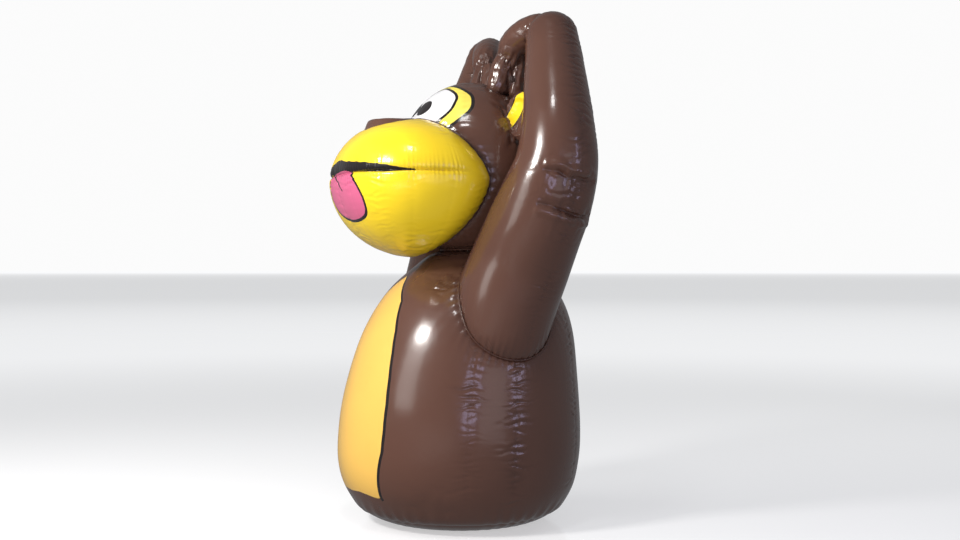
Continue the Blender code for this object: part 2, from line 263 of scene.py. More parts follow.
# Studio lights: turn round the figure, distance, height, size, the setting of its power and the share of it,
# colour, height of its aim, and whether it is seen in the gloss
WARM = (1.0, 0.98, 0.95)
COOL = (0.66, 0.64, 1.0)
WHITE = (1.0, 1.0, 1.0)
PALE_COOL = (0.95, 0.92, 1.0)
SOFTBOXES = {
    "key_softbox": (15.0, 4.6, 4.2, (0.9, 0.65), "key_power", 0.75, WARM, 1.4, True),
    "key_glow": (15.0, 4.7, 3.2, (1.5, 3.4), "key_power", 0.17, WARM, 1.2, True),
    "top_box": (54.0, 2.8, 6.4, (0.7, 0.7), "key_power", 0.15, WHITE, 1.3, True),
    "left_fill": (-25.0, 5.0, 4.5, (3.5, 3.5), "fill_power", 1.0, WARM, 1.4, False),
    "low_fill": (46.0, 4.6, 0.4, (3.0, 0.7), "fill_power", 0.62, WARM, 1.9, False),
    "camera_fill": (95.0, 7.0, 3.5, (3.0, 3.0), "fill_power", 0.14, WHITE, 1.2, False),
    "back_fill": (200.0, 6.0, 4.0, (3.0, 3.0), "fill_power", 0.38, WHITE, 1.2, False),
    "window_strip": (77.0, 8.6, 2.7, (1.4, 2.6), "strip_power", 1.0, COOL, 2.4, True),
    "side_strip": (121.0, 6.5, 2.7, (1.0, 2.6), "strip_power", 0.7, COOL, 2.4, True),
    "wall_glow": (98.0, 7.5, 2.0, (3.0, 3.6), "strip_power", 0.5, PALE_COOL, 1.8, True),
}

SIDES = {"left": 1.0, "right": -1.0}
FLOOR_REACH = 1500.0
CAMERA_REACH = 4000.0
SENSOR_WIDTH = 36.0
BEAD_SIDES = 10
MUZZLE_BEAD_STEPS = 260
NECK_BEAD_STEPS = 160
SHOULDER_BEAD_STEPS = 220
CURVE_STEPS = 60
OUTLINE_STEPS = 12
FAR_AWAY = 1.0
FULL_TURN = 2.0 * math.pi


def lattice_value(cells, seed):
    """A fixed value from -1 to 1 for each cell of a grid in space."""
    mixed = cells[..., 0] * 73856093 ^ cells[..., 1] * 19349663 ^ cells[..., 2] * 83492791 ^ (seed * 40503)
    mixed = (mixed ^ (mixed >> 13)) * 1274126177
    mixed = mixed ^ (mixed >> 16)
    return (mixed & 0xFFFF) / 32767.5 - 1.0


def noise(points, size, seed):
    """Smooth lumps of one size, from about -1 to 1."""
    cell = points / size + 137.0
    low = np.floor(cell)
    part = cell - low
    part = part * part * (3.0 - 2.0 * part)
    low = low.astype(np.int64)
    total = np.zeros(points.shape[:-1])
    for corner in itertools.product((0, 1), repeat=3):
        weight = np.ones(points.shape[:-1])
        for axis in range(3):
            weight = weight * (part[..., axis] if corner[axis] else 1.0 - part[..., axis])
        total += weight * lattice_value(low + np.array(corner), seed)
    return total


def line_noise(along, size, seed):
    """Smooth lumps along a line."""
    along = np.asarray(along, float)
    points = np.stack([along, np.full_like(along, 0.37), np.full_like(along, 0.61)], axis=-1)
    return noise(points, size, seed)


def crinkle(points, size, seed):
    """Sharp folds between rounder lumps, from 0 to 1, as in a skin pressed together."""
    bend = points + 0.35 * size * np.stack([noise(points, 1.3 * size, seed + k) for k in range(3)], axis=-1)
    return 1.0 - np.sqrt(np.abs(noise(bend, size, seed + 5)))


def rise(value, low, high):
    """Nothing below low, one above high, and smooth between."""
    share = np.clip((value - low) / (high - low), 0.0, 1.0)
    return share * share * (3.0 - 2.0 * share)


def bell(value, width):
    """One at nothing, and fading with distance."""
    return np.exp(-((value / width) ** 2))


def running_total(steps):
    """The sum so far of a row of steps, from nothing."""
    return np.concatenate(([0.0], np.cumsum(steps)))


def spread(count, weight):
    """Places from 0 to 1, closer together where the weight is greater."""
    dense = np.linspace(0.0, 1.0, 4001)
    heavy = weight(dense) * np.ones_like(dense)
    total = running_total(0.5 * (heavy[1:] + heavy[:-1]))
    return np.interp(np.linspace(0.0, 1.0, count), total / total[-1], dense)


def blur(rows, width):
    """Evens out a table of samples, with its two ends kept in place."""
    reach = int(4 * width)
    weights = np.exp(-0.5 * (np.arange(-reach, reach + 1) / width) ** 2)
    weights /= weights.sum()
    before = 2.0 * rows[0] - rows[reach:0:-1]
    after = 2.0 * rows[-1] - rows[-2:-reach - 2:-1]
    padded = np.concatenate([before, rows, after])
    return np.stack([np.convolve(column, weights, "valid") for column in padded.T], axis=1)


def curved(corners, steps):
    """Points of a smooth curve through all corners but the first and last, which only guide it."""
    share = np.linspace(0.0, 1.0, steps, endpoint=False)[:, None]
    pieces = []
    for a, b, c, d in zip(corners, corners[1:], corners[2:], corners[3:]):
        bend = 2.0 * a - 5.0 * b + 4.0 * c - d
        twist = 3.0 * b - a - 3.0 * c + d
        pieces.append(0.5 * (2.0 * b + (c - a) * share + bend * share ** 2 + twist * share ** 3))
    return np.concatenate(pieces)


def read_at(places, along, columns):
    """Columns of values, read at places along them."""
    return np.stack([np.interp(places, along, column) for column in columns], axis=1)


def smooth_line(stations, count, softness=0.0):
    """A smooth curve through stations, read at even steps. Its last column is the place in the row."""
    rows = np.array(stations, float)
    rows = np.column_stack([rows, np.arange(len(rows))])
    padded = np.concatenate([[2 * rows[0] - rows[1]], rows, [2 * rows[-1] - rows[-2]]])
    dense = np.concatenate([curved(padded, CURVE_STEPS), rows[-1:]])
    length = running_total(np.linalg.norm(np.diff(dense[:, :3], axis=0), axis=1))
    line = read_at(np.linspace(0.0, length[-1], count), length, dense.T)
    if softness:
        line = blur(line, softness / (length[-1] / (count - 1)))
    return line


def unit(vectors):
    """Vectors of length one."""
    return vectors / np.maximum(np.linalg.norm(vectors, axis=-1, keepdims=True), 1e-12)


def outward(rings):
    """The direction square to a closed grid of rings, away from its middle."""
    around = np.roll(rings, -1, axis=1) - np.roll(rings, 1, axis=1)
    along = np.gradient(rings, axis=0)
    normal = unit(np.cross(around, along))
    middle = rings.mean(axis=1, keepdims=True)
    if np.sum(normal * (rings - middle)) < 0.0:
        normal = -normal
    return normal


def outline_distance(across, up, outline, closed=True):
    """How far points of a plane lie outside a smooth outline, less than nothing inside it."""
    corners = np.array(outline, float)
    if closed:
        corners = curved(np.concatenate([corners[-1:], corners, corners[:2]]), OUTLINE_STEPS)
        ends = np.roll(corners, -1, axis=0)
    else:
        ends = corners[1:]
        corners = corners[:-1]
    near = np.full(across.shape, 9.0)
    inside = np.zeros(across.shape, bool)
    for (x0, y0), (x1, y1) in zip(corners, ends):
        dx = x1 - x0
        dy = y1 - y0
        share = np.clip(((across - x0) * dx + (up - y0) * dy) / max(dx * dx + dy * dy, 1e-12), 0.0, 1.0)
        near = np.minimum(near, np.hypot(across - x0 - share * dx, up - y0 - share * dy))
        if closed and dy != 0.0:
            crosses = ((y0 > up) != (y1 > up)) & (across < dx * (up - y0) / dy + x0)
            inside ^= crosses
    return np.where(inside, -near, near)


def true_distance(field, rings):
    """Turns a field on a grid of rings into a distance along the skin, near where it is nothing."""
    across = np.roll(rings, -1, axis=1) - np.roll(rings, 1, axis=1)
    along = 2.0 * np.gradient(rings, axis=0)
    field_across = np.roll(field, -1, axis=1) - np.roll(field, 1, axis=1)
    field_along = 2.0 * np.gradient(field, axis=0)
    aa = np.sum(across * across, axis=-1)
    bb = np.sum(along * along, axis=-1)
    ab = np.sum(across * along, axis=-1)
    steep = bb * field_across ** 2 - 2.0 * ab * field_across * field_along + aa * field_along ** 2
    steep = steep / np.maximum(aa * bb - ab * ab, 1e-14)
    return field / np.maximum(np.sqrt(np.maximum(steep, 0.0)), 0.25)


def mirrored_outline(half):
    """A closed outline from its half on one side of the middle."""
    inner = [(-across, up) for across, up in half if across != 0.0]
    return tuple(half) + tuple(inner[::-1])


def body_profile():
    """Height, front reach and back reach, from the middle of the base to the top."""
    lean = (BODY_STATIONS[-1][2] - BODY_STATIONS[-1][1]) / 2.0
    rows = [
        (0.0, 0.0, 0.0),
        (0.0, BODY_PATCH_RADIUS / 2.0, BODY_PATCH_RADIUS / 2.0),
        (0.0, BODY_PATCH_RADIUS, BODY_PATCH_RADIUS),
        *BODY_STATIONS,
        (BODY_TOP_HEIGHT, -lean, lean),
    ]
    profile = smooth_line(rows, 1600, 0.035)
    profile[:, 0] = np.maximum(profile[:, 0], 0.0)
    return profile


def body_field(points):
    """How far points are outside the body."""
    profile = body_profile()
    profile = profile[profile[:, 0] > 0.001]
    height = points[..., 2]
    front = np.interp(height, profile[:, 0], profile[:, 1])
    back = np.interp(height, profile[:, 0], profile[:, 2])
    radius = (front + back) / 2.0
    apart = np.hypot(points[..., 0], points[..., 1] - (back - front) / 2.0) - radius
    rising = profile[:, 0] + 1e-9 * np.arange(len(profile))
    slope = np.gradient((profile[:, 1] + profile[:, 2]) / 2.0, rising)
    slope = np.interp(height, profile[:, 0], slope)
    apart = apart / np.sqrt(1.0 + slope * slope)
    return np.where(height > BODY_TOP_HEIGHT, np.maximum(apart, height - BODY_TOP_HEIGHT), apart)


def egg_field(points, centre, radii):
    """How far points are outside an egg."""
    local = points - np.array(centre)
    radii = np.array(radii)
    near = np.linalg.norm(local / radii, axis=-1)
    steep = np.linalg.norm(local / radii ** 2, axis=-1)
    return near * (near - 1.0) / np.maximum(steep, 1e-9)


def head_field(points):
    """How far points are outside the head."""
    return egg_field(points, HEAD_CENTRE, HEAD_RADII)


def muzzle_reach(height, back):
    """The share of the muzzle's full plan at each height."""
    above = height > MUZZLE_WIDEST_HEIGHT
    span = np.where(above, MUZZLE_ABOVE, MUZZLE_BELOW)
    share = np.clip(np.abs(height - MUZZLE_WIDEST_HEIGHT) / span, 0.0, 1.0)
    power = np.where(above, MUZZLE_UPPER_POWER, MUZZLE_LOWER_POWER)
    power = np.where(back, MUZZLE_BACK_POWER, power)
    return (1.0 - share ** power) ** (1.0 / power)


def muzzle_field(points):
    """Roughly how far points are outside the muzzle."""
    ahead = -points[..., 1] - MUZZLE_CENTRE_FRONT
    wide = np.maximum(MUZZLE_WIDTH / 2.0 * muzzle_reach(points[..., 2], False), 0.01)
    deep = np.maximum(MUZZLE_DEPTH / 2.0 * muzzle_reach(points[..., 2], ahead < 0.0), 0.01)
    power = MUZZLE_PLAN_POWER
    ratio = (np.abs(points[..., 0] / wide) ** power + np.abs(ahead / deep) ** power) ** (1.0 / power)
    return (ratio - 1.0) * np.minimum(wide, deep)


def sleeve_frames(stations, side, count, softness):
    """The middle line of a sleeve, with its radius, place and two directions across it."""
    line = smooth_line(stations, count, softness)
    centres = line[:, :3] * np.array([side, 1.0, 1.0])
    tangents = unit(np.gradient(centres, axis=0))
    across = np.array([0.0, -1.0, 0.0])
    first = []
    second = []
    for tangent in tangents:
        across = across - tangent * across.dot(tangent)
        across = across / np.linalg.norm(across)
        first.append(across)
        second.append(np.cross(tangent, across) * side)
    return centres, tangents, np.array(first), np.array(second), line[:, 3], line[:, 4]


def sleeve_field(points, stations, side, softness=0.02):
    """How far points are outside a sleeve, and the turn round it at each."""
    centres, _, first, second, radii, _ = sleeve_frames(stations, side, 90, softness)
    flat = points.reshape(-1, 3)
    near = np.full(len(flat), 9.0)
    which = np.zeros(len(flat), int)
    for index, (centre, radius) in enumerate(zip(centres, radii)):
        apart = np.linalg.norm(flat - centre, axis=1) - radius
        closer = apart < near
        near[closer] = apart[closer]
        which[closer] = index
    away = flat - centres[which]
    turn = np.arctan2(np.sum(away * second[which], axis=1), np.sum(away * first[which], axis=1))
    return near.reshape(points.shape[:-1]), turn.reshape(points.shape[:-1])


def hand_drop(side):
    """How far a hand lies below the left one."""
    return RIGHT_HAND_DROP if side < 0.0 else 0.0


def wrist_stations(side):
    """The wrist's stations, lower on the right."""
    return [
        (out, back, height - hand_drop(side) * min(1.0, index / 2.0), radius)
        for index, (out, back, height, radius) in enumerate(WRIST_STATIONS)
    ]


def finger_stations(finger, side):
    """A finger's knuckle, middle and tip, lower on the right."""
    out, back, height, tip_out, tip_back, tip_height, radius = finger
    drop = hand_drop(side)
    return [
        (out, back, height - drop, radius),
        ((out + tip_out) / 2.0, (back + tip_back) / 2.0, (height + tip_height) / 2.0 - drop, radius * 1.06),
        (tip_out, tip_back, tip_height - drop, radius),
    ]


def palm_centre(side):
    """The middle of the palm, lower on the right."""
    return (side * PALM_CENTRE[0], PALM_CENTRE[1], PALM_CENTRE[2] - hand_drop(side))


def hand_fields(points, side):
    """How far points are outside each piece of one hand."""
    fields = [sleeve_field(points, wrist_stations(side), side)[0]]
    fields.append(egg_field(points, palm_centre(side), PALM_RADII))
    for finger in FINGERS:
        fields.append(sleeve_field(points, finger_stations(finger, side), side)[0])
    return fields


def seam_relief(apart, along, settings, seed, strength=1.0):
    """The groove of one welded seam, and the separate puckers that run out from it."""
    relief = -settings.seam_depth * np.exp(-np.abs(apart) / settings.seam_width)
    marked = 0.35 * np.exp(-np.abs(apart) / settings.pucker_reach)
    pitch = settings.pucker_pitch
    start = along[:, 0].min()
    for number in range(int(np.ptp(along[:, 0]) / pitch) + 2):
        draws = lattice_value(np.array([[number, k, 5] for k in range(7)]), seed)
        shift, tall, broad, one_way, other_way, slant, wobble = draws
        middle = start + pitch * (number + 0.5 * shift)
        patch = rise(line_noise(np.array([middle]), 5.5 * pitch, seed + 3)[0], -0.75, 0.15)
        height = settings.pucker_height * (0.62 + 0.38 * tall) * (0.25 + 0.75 * patch)
        width = settings.pucker_width * (1.0 + 0.40 * broad)
        rows = np.abs(along[:, 0] - middle) < 0.075
        if not rows.any():
            continue
        side = apart[rows]
        lean = 0.22 * slant * side + 0.006 * np.sin(side / 0.021 + 3.0 * wobble)
        step = (along[rows] - middle - lean) / width
        reach = (0.75 + 0.5 * np.where(side > 0.0, one_way, other_way)) * settings.pucker_reach
        fade = np.exp(-(np.abs(side) / reach) ** 1.7)
        fold = -np.exp(-np.abs(step) ** 1.4) + 0.42 * bell(step - 2.1, 1.3) + 0.42 * bell(step + 2.1, 1.3)
        relief[rows] += height * fold * fade
        marked[rows] = np.maximum(marked[rows], fade * bell(step, 2.5) * (0.25 + 0.75 * patch))
    return strength * relief, strength * marked


def weld_relief(points, field, turn, folds, settings, seed):
    """The pinch beside a weld between two pieces, with folds that spread from it."""
    wave = np.sin(folds * turn + 2.6 * noise(points, 0.16, seed))
    uneven = 0.6 + 0.6 * noise(points, 0.08, seed + 1)
    near = np.exp(-np.abs(field) / settings.weld_reach)
    folded = settings.weld_fold_height * wave * uneven * near
    pinch = settings.weld_depth * np.exp(-np.abs(field) / settings.weld_width)
    return folded - pinch, near


def turn_apart(turn, seam):
    """The shortest turn from a seam, in radians."""
    return (turn - math.radians(seam) + math.pi) % FULL_TURN - math.pi


def near_spot(points, side, spot, reach):
    """One at a spot on one side of the figure, and fading over its reach."""
    middle = np.array([side * spot[0], spot[1], spot[2]])
    return np.exp(-np.sum(((points - middle) / reach) ** 2, axis=-1))


def egg_rings(centre, radii, rows, columns):
    """Rings round an egg, with the tilt of each, the turn round them and the egg's two ends."""
    tilt = np.linspace(0.0, math.pi, rows)[1:-1]
    turn = np.linspace(0.0, FULL_TURN, columns, endpoint=False)
    reach = np.sin(tilt)[:, None]
    rings = np.array(centre) + np.stack([
        radii[0] * reach * np.sin(turn),
        -radii[1] * reach * np.cos(turn),
        -radii[2] * np.cos(tilt)[:, None] + 0.0 * turn,
    ], axis=-1)
    ends = [np.array(centre) + (0.0, 0.0, way * radii[2]) for way in (-1.0, 1.0)]
    return rings, tilt, turn, ends


class Relief:
    """The height that seams and folds add to a grid of rings, and how creased the skin is, which also sets
    where painted shade darkens it.
    """

    def __init__(self, rings):
        self.rings = rings
        self.normal = outward(rings)
        self.height = np.zeros(rings.shape[:-1])
        self.crease = np.zeros(rings.shape[:-1])

    def add(self, pair, share=1.0, marked_share=None):
        """Adds a share of a seam's or weld's height and creases."""
        lifted, marked = pair
        self.height += lifted * share
        self.crease = np.maximum(self.crease, marked * (share if marked_share is None else marked_share))

    def moved(self):
        """The rings with their relief."""
        return self.rings + self.normal * self.height[..., None]


def build_mesh(name, shells):
    """One mesh from closed shells. A shell is its rings, two end points and values by name."""
    points = []
    quads = []
    triangles = []
    values = {}
    offset = 0
    for rings, start, end, fields in shells:
        rows, columns = rings.shape[:2]
        verts = np.concatenate([rings.reshape(-1, 3), [start], [end]])
        index = np.arange(rows * columns).reshape(rows, columns)
        following = np.roll(index, -1, axis=1)
        faces = np.stack([index[:-1], following[:-1], following[1:], index[1:]], axis=-1).reshape(-1, 4)
        count = rows * columns
        foot = np.stack([following[0], index[0], np.full(columns, count)], axis=-1)
        tip = np.stack([index[-1], following[-1], np.full(columns, count + 1)], axis=-1)
        caps = np.concatenate([foot, tip])
        corner = verts[faces]
        volume = np.sum(corner[:, 0] * np.cross(corner[:, 1], corner[:, 2]))
        volume += np.sum(corner[:, 0] * np.cross(corner[:, 2], corner[:, 3]))
        if volume < 0.0:
            faces = faces[:, ::-1]
            caps = caps[:, ::-1]
        points.append(verts)
        quads.append(faces + offset)
        triangles.append(caps + offset)
        for key, field in fields.items():
            ends = [field[0].mean(), field[-1].mean()]
            values.setdefault(key, []).append(np.concatenate([field.ravel(), ends]))
        offset += len(verts)
    mesh = bpy.data.meshes.new(name)
    faces = np.concatenate(quads).tolist() + np.concatenate(triangles).tolist()
    mesh.from_pydata(np.concatenate(points).tolist(), [], faces)
    for key, parts in values.items():
        layer = mesh.attributes.new(key, "FLOAT", "POINT")
        layer.data.foreach_set("value", np.concatenate(parts).astype(np.float32))
    mesh.shade_smooth()
    mesh.update()
    return mesh


def add_piece(name, mesh, material, replaced="figure"):
    """Links a finished piece and ties it to the frame."""
    piece = bpy.data.objects.new(name, mesh)
    bpy.context.scene.collection.objects.link(piece)
    mesh.materials.append(material)
    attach(piece, "root")
    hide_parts(replaced)
    return piece


def crossing_line(rings, field, turn, count, softness=3.0):
    """A closed line where a field on a grid of rings passes through nothing, read at even turns."""
    lower = field[:-1]
    upper = field[1:]
    found = (lower < 0.0) != (upper < 0.0)
    share = (lower[found] / (lower[found] - upper[found]))[:, None]
    points = rings[:-1][found] * (1.0 - share) + rings[1:][found] * share
    angles = turn(points) % FULL_TURN
    order = np.argsort(angles)
    even = np.linspace(0.0, FULL_TURN, count, endpoint=False)
    columns = [np.interp(even, angles[order], column[order], period=FULL_TURN) for column in points.T]
    wrapped = np.concatenate([np.stack(columns, axis=1)] * 3)
    return blur(wrapped, softness)[count:2 * count]


def body_base():
    """Rings of the body before its seams are drawn in, with turn, height along the skin and radius."""
    profile = body_profile()
    places = spread(BODY_GRID[0], lambda u: 0.22 + rise(u, 0.13, 0.2) * (1.0 - 0.65 * rise(u, 0.86, 0.97)))
    rows = read_at(places[1:-1] * (len(profile) - 1), np.arange(len(profile)), profile.T)

    def closeness(share):
        weight = np.ones_like(share)
        for seam in BODY_SEAMS_DEGREES:
            weight = weight + 1.6 * bell(turn_apart(share * FULL_TURN, seam), 0.15)
        return weight

    turn = spread(BODY_GRID[1], closeness)[:-1] * FULL_TURN
    height, front, back = rows[:, 0], rows[:, 1], rows[:, 2]
    radius = (front + back) / 2.0
    middle = (back - front) / 2.0
    rings = np.stack([
        radius[:, None] * np.sin(turn),
        middle[:, None] - radius[:, None] * np.cos(turn),
        np.repeat(height[:, None], len(turn), axis=1),
    ], axis=-1)
    along = running_total(np.hypot(np.diff(height), np.diff(radius)))
    return rings, turn, along, radius


def make_body(settings):
    """The body's skin, pinched at its seams and round each shoulder and the neck."""
    rings, turn, along, radius = body_base()
    skin = Relief(rings)
    height = rings[..., 2]
    standing = rise(height, 0.10, 0.34) * (1.0 - 0.8 * rise(height, 1.05, 1.40))
    for number, seam in enumerate(BODY_SEAMS_DEGREES):
        apart = turn_apart(turn, seam)[None, :] * radius[:, None]
        skin.add(seam_relief(apart, along[:, None] + 0.0 * apart, settings, 11 + 7 * number), standing)
    for side in SIDES.values():
        field, around = sleeve_field(rings, ARM_STATIONS, side)
        skin.add(weld_relief(rings, field, around, 44, settings, 71))
        patch = near_spot(rings, side, *SHOULDER_CRINKLE)
        skin.add((-SHOULDER_CRINKLE_DEPTH * patch * crinkle(rings, 0.050, 23), patch))
        patch = near_spot(rings, side, *FOOT_GATHER)
        skin.height -= FOOT_GATHER_DEPTH * patch * crinkle(rings * (1.0, 1.0, 0.55), 0.06, 31)
    skin.add(weld_relief(rings, head_field(rings), turn[None, :] + 0.0 * height, 40, settings, 83))
    above_floor = height > 0.0005
    foot = bell(height - 0.085, 0.062) * above_floor
    folds = np.sin(FOOT_FOLDS_ROUND * turn[None, :] + 3.4 * noise(rings, 0.22, 41))
    skin.height += FOOT_FOLD_HEIGHT * foot * folds * (0.5 + 0.7 * noise(rings, 0.17, 43))
    pinch = np.exp(-np.abs(height - FOOT_PINCH_HEIGHT) / 0.012)
    skin.height -= FOOT_PINCH_DEPTH * pinch * above_floor
    skin.height += 0.0035 * noise(rings, 0.28, 47) * rise(height, 0.02, 0.12)
    rings = skin.moved()
    rings[..., 2] = np.maximum(rings[..., 2], 0.0)
    sideways = np.abs(rings[..., 0]) - np.interp(height, *zip(*BELLY_EDGE))
    ragged = 0.010 * noise(rings, 0.05, 51)
    belly = np.maximum(sideways * 0.9, BELLY_EDGE[0][0] + ragged - height)
    in_front = rings[..., 1] < 0.05
    fields = {
        "belly": np.where(in_front, belly, FAR_AWAY),
        "belly_side": np.where(in_front, sideways, FAR_AWAY),
        "crease": skin.crease,
    }
    lean = (BODY_STATIONS[-1][2] - BODY_STATIONS[-1][1]) / 2.0
    return build_mesh("body_skin", [(rings, (0.0, 0.0, 0.0), (0.0, lean, BODY_TOP_HEIGHT), fields)])


def head_base():
    """Rings of the head before its seams are drawn in."""
    return egg_rings(HEAD_CENTRE, HEAD_RADII, *HEAD_GRID)


def face_turn(points):
    """The turn round the way that the face looks."""
    return np.arctan2(points[..., 2] - 2.0, points[..., 0])


def make_head(settings):
    """The head's skin with its printed eyes."""
    rings, tilt, turn, ends = head_base()
    skin = Relief(rings)
    along = tilt[:, None] * 0.48 + 0.0 * turn
    for number, seam in enumerate(HEAD_SEAMS_DEGREES):
        apart = turn_apart(turn, seam)[None, :] * 0.43 * np.sin(tilt)[:, None]
        skin.add(seam_relief(apart, along, settings, 111 + 7 * number, 0.7))
    skin.add(weld_relief(rings, muzzle_field(rings), face_turn(rings), 52, settings, 131))
    skin.add(weld_relief(rings, body_field(rings), turn[None, :] + 0.0 * skin.height, 40, settings, 137))
    for side in SIDES.values():
        field = np.minimum.reduce(hand_fields(rings, side))
        centre = palm_centre(side)
        around = np.arctan2(rings[..., 1] - centre[1], rings[..., 0] - centre[0])
        skin.add(weld_relief(rings, field, around, 22, settings, 141))
        around = np.arctan2(rings[..., 2] - EAR_CENTRE[2], rings[..., 1] - EAR_CENTRE[1])
        skin.add(weld_relief(rings, ear_field(rings, side), around, 16, settings, 147), 1.0, 0.0)
    skin.height += 0.002 * noise(rings, 0.2, 151)
    bearing = np.arctan2(rings[..., 0], HEAD_CENTRE[1] - rings[..., 1])
    up = rings[..., 2]
    forward = np.abs(bearing) < math.radians(100.0)
    fields = {"crease": skin.crease}
    for name, half in (("white", EYE_WHITE), ("surround", EYE_SURROUND)):
        outline = [(math.radians(angle) * EYE_TURN_RADIUS, level) for angle, level in mirrored_outline(half)]
        field = outline_distance(bearing * EYE_TURN_RADIUS, up, outline)
        fields[name] = np.where(forward, true_distance(field, rings), FAR_AWAY)
    aside = (np.abs(bearing) - math.radians(PUPIL_TURN)) / math.radians(PUPIL_HALF_TURN)
    pupil = (np.hypot(aside, (up - PUPIL_HEIGHT) / PUPIL_HALF_HEIGHT) - 1.0) * PUPIL_HALF_HEIGHT
    fields["pupil"] = np.where(forward, true_distance(pupil, rings), FAR_AWAY)
    return build_mesh("head_skin", [(skin.moved(), *ends, fields)])


def nose_apart(across, front):
    """The share of the nose's plan at which points of the muzzle's top lie, one at its edge."""
    return np.hypot(across / NOSE_HALF_WIDTH, (front - NOSE_FRONT) / NOSE_HALF_DEPTH)


def muzzle_base():
    """Rings of the muzzle before its seams are drawn in, with the turn round it."""
    tilt = np.linspace(-math.pi / 2.0, math.pi / 2.0, 4001)
    dense = MUZZLE_WIDEST_HEIGHT + np.where(tilt > 0.0, MUZZLE_ABOVE, MUZZLE_BELOW) * np.sin(tilt)
    reach = muzzle_reach(dense, False)
    length = running_total(np.hypot(np.diff(dense), np.diff(reach) * MUZZLE_WIDTH / 2.0))
    mouth = np.interp(MOUTH_SEAM_HEIGHT, dense, length) / length[-1]
    crowding = lambda u: 1.0 + 1.9 * bell(u - mouth, 0.035) + 0.9 * bell(u - 0.80, 0.10)
    places = spread(MUZZLE_GRID[0], crowding)
    height = np.interp(places[1:-1] * length[-1], length, dense)
    turn = np.linspace(0.0, FULL_TURN, 4001)
    power = 2.0 / MUZZLE_PLAN_POWER
    ahead = np.sign(np.cos(turn)) * np.abs(np.cos(turn)) ** power
    side = np.sign(np.sin(turn)) * np.abs(np.sin(turn)) ** power
    length = running_total(np.hypot(np.diff(ahead) * MUZZLE_DEPTH / 2.0, np.diff(side) * MUZZLE_WIDTH / 2.0))
    even = np.interp(np.linspace(0.0, length[-1], MUZZLE_GRID[1])[:-1], length, turn)
    ahead = np.interp(even, turn, ahead)
    side = np.interp(even, turn, side)
    wide, deep_front, deep_back = (
        extent / 2.0 * muzzle_reach(height, back)
        for extent, back in ((MUZZLE_WIDTH, False), (MUZZLE_DEPTH, False), (MUZZLE_DEPTH, True))
    )
    deep = np.where(ahead[None, :] > 0.0, deep_front[:, None], deep_back[:, None])
    across = wide[:, None] * side
    front = MUZZLE_CENTRE_FRONT + deep * ahead
    level = MUZZLE_WIDEST_HEIGHT + MUZZLE_ABOVE - NOSE_BELOW_TOP
    share = rise(1.0 - nose_apart(across, front), 0.0, NOSE_EDGE_SHARE)
    share = share * (height > MUZZLE_WIDEST_HEIGHT)[:, None]
    lift = share * np.maximum(0.0, level - height)[:, None]
    rings = np.stack([across, -front, height[:, None] + lift], axis=-1)
    return rings, even, height, ahead


